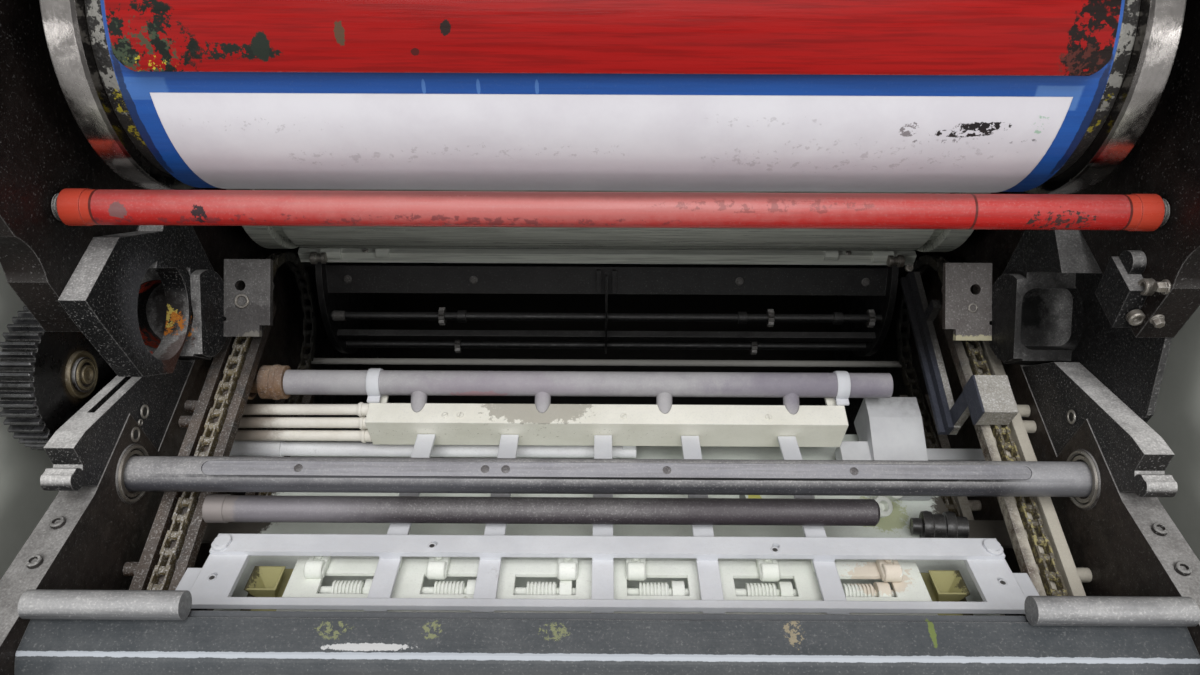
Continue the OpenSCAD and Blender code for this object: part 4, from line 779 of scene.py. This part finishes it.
class Bench:
    """Modelling steps that the small pieces share."""

    @staticmethod
    def start(item: Piece | None = None) -> None:
        """Deselects everything, then picks one piece.

        Args:
            item: The piece, or None to leave nothing selected.
        """
        bpy.ops.object.select_all(action="DESELECT")
        if item is not None:
            item.select_set(True)
            bpy.context.view_layer.objects.active = item

    @staticmethod
    def settled(item: Piece) -> Piece:
        """Carries a piece's place, turn and size into its mesh.

        Args:
            item: The piece.

        Returns:
            The piece.
        """
        Bench.start(item)
        bpy.ops.object.transform_apply(location=True, rotation=True, scale=True)
        return item

    @staticmethod
    def extrude(shift: Point) -> None:
        """Draws out what is selected by a shift in metres."""
        bpy.ops.mesh.extrude_region_move(TRANSFORM_OT_translate={"value": shift})

    @staticmethod
    def turned(profile: Steps, sides: int = 24, hollow: bool = False) -> Piece:
        """Turns a piece about +Z.

        Args:
            profile: Height and radius of each step in metres, from the foot up.
            sides: Flats round the piece.
            hollow: Whether the profile closes on itself round an open bore.

        Returns:
            The turned piece.
        """
        Bench.start()
        foot, radius = profile[0]
        bpy.ops.mesh.primitive_circle_add(vertices=sides, radius=radius, location=(0, 0, foot),
                                          fill_type="NOTHING" if hollow else "NGON")
        bpy.ops.object.mode_set(mode="EDIT")
        bpy.ops.mesh.select_mode(type="VERT")
        bpy.ops.mesh.select_all(action="SELECT")
        for (low, inner), (high, outer) in zip(profile, profile[1:] + profile[:1] * hollow):
            Bench.extrude((0, 0, high - low))
            bpy.ops.transform.resize(value=(outer / inner, outer / inner, 1.0))
        bpy.ops.mesh.select_all(action="SELECT")
        bpy.ops.mesh.remove_doubles(threshold=SAME_PLACE)
        bpy.ops.mesh.normals_make_consistent(inside=False)
        bpy.ops.object.mode_set(mode="OBJECT")
        return Bench.settled(bpy.context.object)

    @staticmethod
    def block(low: Point, high: Point, bevel: float) -> Piece:
        """Makes a block with rounded edges.

        Args:
            low: Its lowest corner in metres.
            high: Its highest corner.
            bevel: Width of the rounding.

        Returns:
            The block.
        """
        Bench.start()
        middle = [(a + b) / 2 for a, b in zip(low, high)]
        bpy.ops.mesh.primitive_cube_add(size=1.0, location=middle, scale=[b - a for a, b in zip(low, high)])
        Bench.settled(bpy.context.object)
        bpy.ops.object.mode_set(mode="EDIT")
        bpy.ops.mesh.select_all(action="SELECT")
        bpy.ops.mesh.bevel(offset=bevel, segments=2, affect="EDGES")
        bpy.ops.object.mode_set(mode="OBJECT")
        return bpy.context.object

    @staticmethod
    def sink(item: Piece, faces: list[bpy.types.MeshPolygon], shift: Point, margin: float = 0.0) -> None:
        """Pushes some faces of a piece into it.

        Args:
            item: The piece.
            faces: The faces.
            shift: How far they go, in metres.
            margin: Width of the rim that is left round them.
        """
        mesh = item.data
        for group in (mesh.vertices, mesh.edges, mesh.polygons):
            group.foreach_set("select", [False] * len(group))
        for face in faces:
            face.select = True
        Bench.start(item)
        bpy.ops.object.mode_set(mode="EDIT")
        bpy.ops.mesh.select_mode(type="FACE")
        if margin:
            bpy.ops.mesh.inset(thickness=margin)
        Bench.extrude(shift)
        bpy.ops.object.mode_set(mode="OBJECT")

    @staticmethod
    def sunk(item: Piece, way: Point, margin: float, depth: float) -> Piece:
        """Sets the largest face that looks one way back into the piece.

        Args:
            item: The piece.
            way: Where the face looks.
            margin: Width of the rim that is left round it, in metres.
            depth: How deep it goes.

        Returns:
            The piece.
        """
        facing = [face for face in item.data.polygons if face.normal.dot(Vector(way)) > SAME_WAY]
        largest = max(facing, key=lambda face: face.area)
        Bench.sink(item, [largest], [-depth * part for part in way], margin)
        return item

    @staticmethod
    def slotted(item: Piece, width: float, depth: float) -> Piece:
        """Cuts a screwdriver slot across the top of a turned head.

        Args:
            item: The head.
            width: Width of the slot in metres.
            depth: Its depth.

        Returns:
            The head.
        """
        Bench.start(item)
        bpy.ops.object.mode_set(mode="EDIT")
        for side in (-1, 1):
            bpy.ops.mesh.select_all(action="SELECT")
            bpy.ops.mesh.bisect(plane_co=(0, side * width / 2, 0), plane_no=(0, 1, 0))
        bpy.ops.object.mode_set(mode="OBJECT")
        top = max(vertex.co.z for vertex in item.data.vertices)
        faces = [face for face in item.data.polygons
                 if abs(face.center.z - top) < SAME_HEIGHT and abs(face.center.y) < width / 2]
        Bench.sink(item, faces, (0, 0, -depth))
        return item

    @staticmethod
    def joined(items: list[Piece]) -> Piece:
        """Joins several pieces into one.

        Args:
            items: The pieces.

        Returns:
            The one piece.
        """
        Bench.start(items[0])
        for item in items:
            item.select_set(True)
        if len(items) > 1:
            bpy.ops.object.join()
        return bpy.context.object

    @staticmethod
    def placed(model: Piece, at: Point, way: Point = UP, spin: float = 0.0) -> Piece:
        """Copies a model with its own mesh and sets the copy down.

        Args:
            model: The model.
            at: Where its foot comes, in metres.
            way: Where its top looks.
            spin: How far it is turned about itself, in degrees.

        Returns:
            The copy.
        """
        item = model.copy()
        item.data = model.data.copy()
        bpy.context.collection.objects.link(item)
        return Bench.moved(item, at, way, spin)

    @staticmethod
    def moved(item: Piece, at: Point, way: Point = UP, spin: float = 0.0) -> Piece:
        """Sets a piece down.

        Args:
            item: The piece, with its foot at the origin and its top up.
            at: Where its foot comes, in metres.
            way: Where its top looks.
            spin: How far it is turned about itself, in degrees.

        Returns:
            The piece.
        """
        item.rotation_euler = Vector(way).to_track_quat("Z", "Y").to_euler()
        item.rotation_euler.rotate_axis("Z", math.radians(spin))
        item.location = at
        return Bench.settled(item)

    @staticmethod
    def done(item: Piece, name: str, finish: str, slot: str, body: str = "root") -> None:
        """Names a piece, smooths it, dresses it and puts it on its body.

        Args:
            item: The piece.
            name: Its name.
            finish: Name of its finish.
            slot: Material slot of the record; not used.
            body: Body that it moves with.
        """
        Bench.start(item)
        bpy.ops.object.shade_smooth_by_angle(angle=SMOOTH_BELOW)
        item.name = name
        Paint.on(item, finish)
        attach(item, body)
        LOG.info("built %s: %d faces", name, len(item.data.polygons))


@dataclass(frozen=True)
class Turning:
    """Outline of a turned solid, each step as shares of its full height and of its radius."""
    steps: Steps
    sides: int = 24
    hollow: bool = False

    def made(self, radius: float, height: float) -> Piece:
        """Returns the solid at a radius and a height in metres."""
        steps = tuple((height * up, radius * out) for up, out in self.steps)
        return Bench.turned(steps, self.sides, self.hollow)


class Head(Enum):
    """Kinds of screws and rings, as the solids that they are made of.

    HEX is a hexagon head on a washer, SOCKET a cheese head with a round socket, SLOTTED a low head with a
    screwdriver slot, EYE a rim round a hole, DISC a plug in a hole, RING a wide ring with a raised lip, NUT a
    knurled nut and BAND a band round a pipe.
    """
    HEX = (Turning(((0, 1.3), (0.16, 1.3), (0.22, 1.2))), Turning(((0.2, 1), (0.86, 1), (1, 0.84)), 6))
    SOCKET = (Turning(((0, 1), (0.84, 1), (1, 0.88), (1, 0.56), (0.35, 0.5))),)
    SLOTTED = (Turning(((0, 1), (0.5, 1), (1, 0.82))),)
    EYE = (Turning(((0, 0.6), (0, 1), (0.6, 1), (1, 0.9), (1, 0.72), (0.4, 0.6)), 20, True),)
    DISC = (Turning(((0, 1), (0.8, 1), (1, 0.9), (0.7, 0.6)), 20),)
    RING = (Turning(((0, 0.68), (0, 1), (0.55, 1), (1, 0.96), (1, 0.9), (0.5, 0.86), (0.5, 0.68)), 40, True),)
    NUT = (Turning(((0, 0.8), (0.1, 1), (0.3, 1), (0.38, 0.86), (0.46, 1), (0.66, 1), (0.74, 0.86), (0.82, 1),
                    (0.94, 1), (1, 0.8)), 20),)
    BAND = (Turning(((0, 0.86), (0, 0.96), (0.15, 1), (0.85, 1), (1, 0.96), (1, 0.86)), 28, True),)


SLOT_WIDTH = 0.3    # share of a slotted head's radius
SLOT_DEPTH = 0.5    # share of its height
CROSS_SHAFT = (-0.215, 0.918)   # middle of the slotted cross shaft, as Y and Z


@dataclass(frozen=True)
class Fixing:
    """One screw, bolt or ring: its kind and size in metres, its place and the way that its top looks."""
    kind: Head
    radius: float
    height: float
    at: Point
    way: Point = UP
    spin: float = 0.0


class Bin:
    """Screws, bolts and rings, each kind and size modelled once and copied to its places."""

    def __init__(self) -> None:
        """Starts with nothing modelled."""
        self.models: dict[tuple[Head, float, float], Piece] = {}

    def model(self, kind: Head, radius: float, height: float) -> Piece:
        """Models one kind and size, where that isn't done yet.

        Args:
            kind: The kind.
            radius: Its radius in metres.
            height: Its height.

        Returns:
            The model, with its foot at the origin and its top up.
        """
        key = (kind, radius, height)
        if key not in self.models:
            item = Bench.joined([turning.made(radius, height) for turning in kind.value])
            if kind is Head.SLOTTED:
                Bench.slotted(item, radius * SLOT_WIDTH, height * SLOT_DEPTH)
            self.models[key] = item
        return self.models[key]

    def group(self, name: str, finish: str, slot: str, fixings: list[Fixing], body: str = "root") -> None:
        """Copies each fixing to its place and makes one piece of them.

        Args:
            name: Name of the piece.
            finish: Name of its finish.
            slot: Material slot of the record.
            fixings: What goes where.
            body: Body that the piece moves with.
        """
        items = [Bench.placed(self.model(f.kind, f.radius, f.height), f.at, f.way, f.spin) for f in fixings]
        Bench.done(Bench.joined(items), name, finish, slot, body)

    def empty(self) -> None:
        """Removes the models, now that they are copied."""
        for item in self.models.values():
            bpy.data.objects.remove(item)
        self.models.clear()


@dataclass
class FrameFixings:
    """Bolts, rings and small parts on the side frames, covers, castings and arms.

    Attributes:
        stock: Where the screws and rings come from.
        inner_x: Inner face of the right side frame.
        shaft: Middle of the slotted cross shaft, as Y and Z.
        ring: Radius and height of its bearing rings.
        deck_slope: Way that the frames' decks look.
        deck_bolts: Places of the right deck's bolts.
        plate_slope: Way that the mounting plates look.
        sockets: Y, Z and radius of the holes in the left arm, of which the right one has the first.
        plug: Radius of a hole's plug, as a share of its rim's.
        latch: Corners of the right latch's plate.
        lip: Corners of its lip.
        pocket: Rim and depth of the hollow in its plate.
    """
    stock: Bin
    inner_x: float = 0.470
    shaft: tuple[float, float] = CROSS_SHAFT
    ring: tuple[float, float] = (0.0285, 0.004)
    deck_slope: Point = (0.0, 0.22, 0.975)
    deck_bolts: tuple[Point, ...] = ((0.486, -0.296, 0.9668), (0.484, -0.337, 0.9757))
    plate_slope: Point = (0, -0.643, 0.766)
    sockets: tuple[Point, ...] = ((-0.1560, 0.9405, 0.0074), (-0.1690, 0.9400, 0.0034),
                                  (-0.1830, 0.9393, 0.0078), (-0.2060, 0.9405, 0.0042))
    plug: float = 0.66
    latch: tuple[Point, Point] = ((0.5555, -0.205, 1.148), (0.5643, -0.150, 1.176))
    lip: tuple[Point, Point] = ((0.549, -0.206, 1.146), (0.558, -0.152, 1.153))
    pocket: tuple[float, float] = (0.007, 0.003)

    def bolts(self) -> None:
        """Bolts on the frames' decks and beside the black stop."""
        self.stock.group("deck_bolts", "dark_bolt", "cast_frame", [
            Fixing(Head.SOCKET, 0.0062, 0.005, (side * x, y, z), self.deck_slope)
            for side in (-1, 1) for x, y, z in self.deck_bolts])
        self.stock.group("stop_bolts", "bright_rim", "cast_frame", [
            Fixing(Head.SOCKET, 0.0075, 0.008, (0.4702, -0.1398, 1.1142), (-1, 0, 0)),
            Fixing(Head.HEX, 0.0050, 0.009, (0.4702, -0.1533, 1.1285), (-1, 0, 0), 12),
            Fixing(Head.SOCKET, 0.0070, 0.007, (0.4650, -0.1485, 1.0870), (0, -1, 0.15)),
            Fixing(Head.HEX, 0.0045, 0.008, (0.4760, -0.1598, 1.0955), (0, -1, 0), 20)])

    def rings(self) -> None:
        """Bearing rings round the slotted cross shaft, and washers on the mounting plates."""
        self.stock.group("shaft_bearing_rings", "bright_rim", "cast_frame", [
            Fixing(Head.RING, *self.ring, (side * self.inner_x, *self.shaft), (-side, 0, 0))
            for side in (-1, 1)])
        self.stock.group("plate_eyes", "bright_rim", "worn_steel", [
            Fixing(Head.EYE, 0.0085, 0.002, (-0.4149, -0.0005, 0.9368), self.plate_slope),
            Fixing(Head.EYE, 0.0055, 0.0008, (0.4141, -0.0030, 0.9345), self.plate_slope)])

    def arm_sockets(self) -> None:
        """Socketed bolt holes along the inner side of each bracket arm."""
        rims, plugs = [], []
        for side in (-1, 1):
            for y, z, radius in self.sockets if side < 0 else self.sockets[:1]:
                place = ((side * self.inner_x, y, z), (-side, 0, 0))
                rims.append(Fixing(Head.EYE, radius, 0.0016, *place))
                plugs.append(Fixing(Head.DISC, radius * self.plug, 0.0008, *place))
        self.stock.group("arm_hole_rims", "bright_rim", "cast_frame", rims)
        self.stock.group("arm_hole_plugs", "oily_black", "cast_frame", plugs)

    @staticmethod
    def on_side(side: int, corners: tuple[Point, Point], bevel: float) -> Piece:
        """Makes a block on one side of the press.

        Args:
            side: -1 for the left, 1 for the right.
            corners: Its corners on the right, in metres.
            bevel: Width of its rounding.

        Returns:
            The block.
        """
        (near, *low), (far, *high) = corners
        near, far = sorted((side * near, side * far))
        return Bench.block((near, *low), (far, *high), bevel)

    def latches(self) -> None:
        """Black latch on each outer cover."""
        for side, name in ((-1, "left_latch"), (1, "right_latch")):
            plate = Bench.sunk(self.on_side(side, self.latch, bevel=0.002), (-side, 0, 0), *self.pocket)
            lip = self.on_side(side, self.lip, bevel=0.0015)
            Bench.done(Bench.joined([plate, lip]), name, "oily_black", "cover_paint")

    def build(self) -> None:
        """Builds all of them."""
        self.bolts()
        self.rings()
        self.arm_sockets()
        self.latches()


@dataclass
class DeliveryFixings:
    """Screws, straps, clamps and fittings round the cross shafts, the air tube and the slatted guide frame.

    Attributes:
        stock: Where the screws and rings come from.
        slope: How far the guide frame leans back, in degrees.
        corners: Place of its right corner screw.
        eyes: Places of its eyes.
        clamp_x: Where the roller clamps stand.
        clamp_at: Their Y and Z.
        clamp_body: Corners of a clamp's body.
        saddle: Outline of its saddle.
        saddle_at: Foot of the saddle on the clamp.
        screw_at: Foot of the screw on the clamp.
        shaft: Middle of the slotted cross shaft, as Y and Z.
        key_lift: Height of the key strip's face above that.
        key_turn: How far the strip is turned from the top, in degrees.
        tube: Middle of the air tube, as Y and Z.
        strap_x: Where its straps are.
        strap_width: Their width.
        strap_leg: Y and Z of the corners of a strap's leg.
        tie: Place of the lowest hose's tie.
        hose_step: How far each hose is from the one below, in Y and Z.
        pipe: Outline of a white pipe fitting.
        coupling: Outline of the dark coupling.
    """
    stock: Bin
    slope: float = 19.0
    corners: Point = (0.381, -0.2700, 0.8755)
    eyes: tuple[Point, ...] = ((-0.1724, -0.2697, 0.8754), (0.1652, -0.2721, 0.8762),
                               (-0.3755, -0.3078, 0.8833), (0.3755, -0.3078, 0.8833))
    clamp_x: tuple[float, ...] = (-0.287, -0.167, -0.0385, 0.029, 0.160, 0.280)
    clamp_at: tuple[float, float] = (-0.2851, 0.8543)
    clamp_body: tuple[Point, Point] = ((-0.010, -0.014, 0.0), (0.010, 0.012, 0.009))
    saddle: Steps = ((0, 0.0078), (0.001, 0.0088), (0.016, 0.0088), (0.017, 0.0078))
    saddle_at: Point = (-0.0085, 0.006, 0.006)
    screw_at: Point = (0.0, -0.0085, 0.0085)
    shaft: tuple[float, float] = CROSS_SHAFT
    key_lift: float = 0.0157
    key_turn: float = math.radians(7.0)
    tube: tuple[float, float] = (-0.038, 0.834)
    strap_x: tuple[float, float] = (-0.277, 0.280)
    strap_width: float = 0.015
    strap_leg: Steps = ((-0.0625, 0.8262), (-0.0500, 0.8300))
    tie: Point = (-0.2945, -0.082, 0.786)
    hose_step: tuple[float, float] = (0.008, 0.016)
    pipe: Steps = ((0, 0.0075), (0.012, 0.0075), (0.0121, 0.0105), (0.020, 0.0105), (0.0201, 0.0085),
                   (0.030, 0.0085), (0.0301, 0.0115), (0.040, 0.0115), (0.041, 0.0095), (0.041, 0.006),
                   (0.034, 0.005))
    coupling: Steps = ((0, 0.009), (0.010, 0.009), (0.011, 0.0165), (0.016, 0.0175), (0.021, 0.0165),
                       (0.022, 0.014), (0.034, 0.014), (0.035, 0.0165), (0.040, 0.0175), (0.045, 0.0165),
                       (0.046, 0.012), (0.058, 0.012), (0.058, 0.008), (0.050, 0.007))

    def guide_frame(self) -> None:
        """Corner screws and eyes of the slatted guide frame."""
        way = (0.0, math.sin(math.radians(self.slope)), math.cos(math.radians(self.slope)))
        x, y, z = self.corners
        self.stock.group("guide_corner_screws", "white_paint", "white_paint", [
            Fixing(Head.SOCKET, 0.0082, 0.003, (side * x, y, z), way) for side in (-1, 1)])
        self.stock.group("guide_eyes", "white_paint", "white_paint", [
            Fixing(Head.EYE, 0.0042, 0.0009, at, way) for at in self.eyes])
        self.stock.group("guide_eye_plugs", "oily_black", "white_paint", [
            Fixing(Head.DISC, 0.0026, 0.0005, at, way) for at in self.eyes])

    def clamps(self) -> None:
        """White clamps beside the suction rollers, each with a screw."""
        body = Bench.sunk(Bench.block(*self.clamp_body, bevel=0.0015), UP, margin=0.004, depth=0.0015)
        saddle = Bench.moved(Bench.turned(self.saddle, sides=20), self.saddle_at, (1, 0, 0))
        screw = Bench.placed(self.stock.model(Head.SOCKET, radius=0.0034, height=0.003), self.screw_at)
        model = Bench.joined([body, saddle, screw])
        items = []
        for x in self.clamp_x:
            item = Bench.placed(model, (0, 0, 0))
            item.rotation_euler = (math.radians(-self.slope), 0.0, 0.0)
            item.location = (x, *self.clamp_at)
            items.append(Bench.settled(item))
        bpy.data.objects.remove(model)
        Bench.done(Bench.joined(items), "roller_clamps", "white_plastic", "white_plastic")

    def key_screws(self) -> None:
        """Flush slotted screws along the slotted cross shaft's key strip."""
        lean, rise = math.sin(self.key_turn), math.cos(self.key_turn)
        at = (self.shaft[0] - self.key_lift * lean, self.shaft[1] + self.key_lift * rise)
        self.stock.group("key_strip_screws", "dusty_steel", "worn_steel", [
            Fixing(Head.SLOTTED, 0.0042, 0.0004, (x, *at), (0, -lean, rise), spin)
            for x, spin in ((-0.301, 30), (-0.119, 80), (-0.099, 10), (0.058, 65), (0.240, 40))])

    def tube_straps(self) -> None:
        """Straps that hold the air tube to the box, ties round the hoses, and screws of the box."""
        straps = []
        half = self.strap_width / 2
        low, high = self.strap_leg
        band = self.stock.model(Head.BAND, 0.0174, self.strap_width)
        for x in self.strap_x:
            straps.append(Bench.placed(band, (x - half, *self.tube), (1, 0, 0)))
            straps.append(Bench.block((x - half, *low), (x + half, *high), bevel=0.0008))
        Bench.done(Bench.joined(straps), "tube_straps", "white_paint", "white_paint")
        (x, y, z), (back, up) = self.tie, self.hose_step
        self.stock.group("hose_ties", "hose_plastic", "hose_plastic", [
            Fixing(Head.BAND, 0.0088, 0.004, (x, y + back * hose, z + up * hose), (1, 0, 0))
            for hose in range(3)])
        self.stock.group("box_screws", "cream_paint", "cream_paint", [
            Fixing(Head.SLOTTED, 0.0040, 0.0014, (x, -0.079, 0.8258), UP, spin)
            for x, spin in ((-0.190, 20), (-0.172, 70), (0.02, 45), (0.19, 100))])

    def fittings(self) -> None:
        """Pipe fittings behind the slotted cross shaft on the right."""
        pipe = Bench.turned(self.pipe, sides=18)
        items = [Bench.placed(pipe, at, way) for at, way in (
            ((0.300, -0.170, 0.7665), (0.25, -0.35, 1.0)), ((0.318, -0.150, 0.7600), (0.3, -0.2, 1.0)))]
        bpy.data.objects.remove(pipe)
        Bench.done(Bench.joined(items), "white_pipe_fittings", "white_plastic", "white_plastic")
        coupling = Bench.turned(self.coupling, sides=20)
        Bench.moved(coupling, (0.340, -0.200, 0.7900), (1.0, -0.1, 0.12))
        Bench.done(coupling, "dark_pipe_coupling", "oily_black", "perished_rubber")

    def flange(self) -> None:
        """Clips where the air tube's rubber coupling meets its flange and the tube."""
        self.stock.group("coupling_clips", "perished_rubber", "perished_rubber", [
            Fixing(Head.BAND, 0.0212, 0.007, (x, *self.tube), (1, 0, 0)) for x in (-0.432, -0.399)])

    def build(self) -> None:
        """Builds all of them."""
        self.guide_frame()
        self.clamps()
        self.key_screws()
        self.tube_straps()
        self.fittings()
        self.flange()


@dataclass
class RollerFixings:
    """Nuts, hubs, threads and bolts on the safety bar, the idler gear, the gripper bar and the drum.

    Attributes:
        stock: Where the screws and rings come from.
        bar: Middle of the safety bar, as Y and Z.
        nut_x: Foot of its right nut.
        gear: Middle of the idler gear's outer face.
        race: Outline of its spindle's end.
        roller: Outline of a gripper bar's end roller.
        roller_at: Foot of the right one.
        drum: Axis of the delivery drum, as Y and Z.
        rod: Distance of its upper rod from that, and the rod's angle in degrees.
        thread_x: Where its thread starts.
        turns: How many turns that has.
        pitch: Their pitch.
        crest_from, crest_to: Where the top of a turn starts and ends, from the turn's foot.
        root, crest: Radius of the thread between the turns and on them.
        beam: Distance and angle of the drum's beam.
    """
    stock: Bin
    bar: tuple[float, float] = (-0.101, 1.165)
    nut_x: float = 0.4624
    gear: Point = (-0.5115, -0.151, 0.995)
    race: Steps = ((0, 0.0155), (0.0065, 0.0155), (0.0075, 0.0145), (0.0075, 0.0125), (0.005, 0.0120),
                   (0.005, 0.0095), (0.0085, 0.0090), (0.0090, 0.0060), (0.0070, 0.0040))
    roller: Steps = ((0, 0.0060), (0.001, 0.0076), (0.006, 0.0076), (0.007, 0.0056), (0.013, 0.0056),
                     (0.014, 0.0084), (0.020, 0.0084), (0.021, 0.0070), (0.021, 0.0032), (0.018, 0.0024))
    roller_at: Point = (0.382, 0.1750, 0.8320)
    drum: tuple[float, float] = (0.2967, 0.7032)
    rod: tuple[float, float] = (0.128, 7.3)
    thread_x: float = -0.398
    turns: int = 9
    pitch: float = 0.0020
    crest_from: float = 0.0008
    crest_to: float = 0.0014
    root: float = 0.0068
    crest: float = 0.0078
    beam: tuple[float, float] = (0.1245, 33.5)

    def bar_nuts(self) -> None:
        """Knurled nuts between the safety bar's ends and the frames."""
        self.stock.group("safety_bar_nuts", "dark_bolt", "cast_frame", [
            Fixing(Head.NUT, 0.0118, 0.0072, (side * self.nut_x, *self.bar), (side, 0, 0))
            for side in (-1, 1)])

    def gear_hub(self) -> None:
        """Bearing ring and spindle end of the idler gear."""
        ring = Fixing(Head.RING, 0.0235, 0.004, self.gear, (1, 0, 0))
        self.stock.group("gear_hub_ring", "brass_hub", "gear_iron", [ring], "idler_unit")
        race = Bench.moved(Bench.turned(self.race, sides=32), self.gear, (1, 0, 0))
        Bench.done(race, "gear_spindle_end", "brass_hub", "gear_iron", "idler_unit")

    def gripper_bolts(self) -> None:
        """Bolts and end rollers of the gripper bar."""
        self.stock.group("gripper_bolts", "bright_rim", "worn_steel", [
            Fixing(Head.SOCKET, 0.0052, 0.005, (0.4005, 0.148, 0.8455), (0, -0.6, 0.8)),
            Fixing(Head.SLOTTED, 0.0040, 0.002, (-0.330, 0.1868, 0.8350), UP, 30),
            Fixing(Head.SLOTTED, 0.0040, 0.002, (0.330, 0.1868, 0.8350), UP, 70)])
        roller = Bench.turned(self.roller)
        x, y, z = self.roller_at
        rollers = [Bench.placed(roller, (side * x, y, z), (side, 0, 0)) for side in (-1, 1)]
        bpy.data.objects.remove(roller)
        Bench.done(Bench.joined(rollers), "gripper_end_rollers", "bright_rim", "worn_steel")

    def on_drum(self, reach: float, angle: float) -> tuple[float, float]:
        """Returns Y and Z of a place on the drum, from its distance in metres and its angle in degrees."""
        turn = math.radians(angle)
        return (self.drum[0] - reach * math.cos(turn), self.drum[1] + reach * math.sin(turn))

    def drum_parts(self) -> None:
        """Thread at the left end of the drum's upper rod, and bolts along its beam."""
        steps = [(0.0, self.root)]
        for turn in range(self.turns):
            foot = self.pitch * turn
            steps += [(foot + self.crest_from, self.crest), (foot + self.crest_to, self.crest),
                      (foot + self.pitch, self.root)]
        thread = Bench.turned(tuple(steps), sides=16)
        Bench.moved(thread, (self.thread_x, *self.on_drum(*self.rod)), (1, 0, 0))
        Bench.done(thread, "drum_rod_thread", "wheel_iron", "drum_iron", "drum_unit")
        slope = math.radians(self.beam[1])
        way = (0.0, -math.cos(slope), math.sin(slope))
        self.stock.group("drum_bolts", "wheel_iron", "drum_iron", [
            Fixing(Head.HEX, 0.0046, 0.005, (x, *self.on_drum(*self.beam)), way, 10)
            for x in (-0.37, -0.19, 0.19, 0.37)], "drum_unit")

    def build(self) -> None:
        """Builds all of them."""
        self.bar_nuts()
        self.gear_hub()
        self.gripper_bolts()
        self.drum_parts()


def main() -> None:
    """Builds the studio, the finishes and the hardware in order, and logs each piece."""
    logging.basicConfig(level=logging.INFO, format="%(message)s")
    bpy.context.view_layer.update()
    bpy.context.scene.view_settings.view_transform = "Standard"
    Studio().build()
    PackedSolids().dress()
    stock = Bin()
    for assembly in (FrameFixings(stock), DeliveryFixings(stock), RollerFixings(stock)):
        assembly.build()
    stock.empty()


if __name__ == "__main__":
    main()
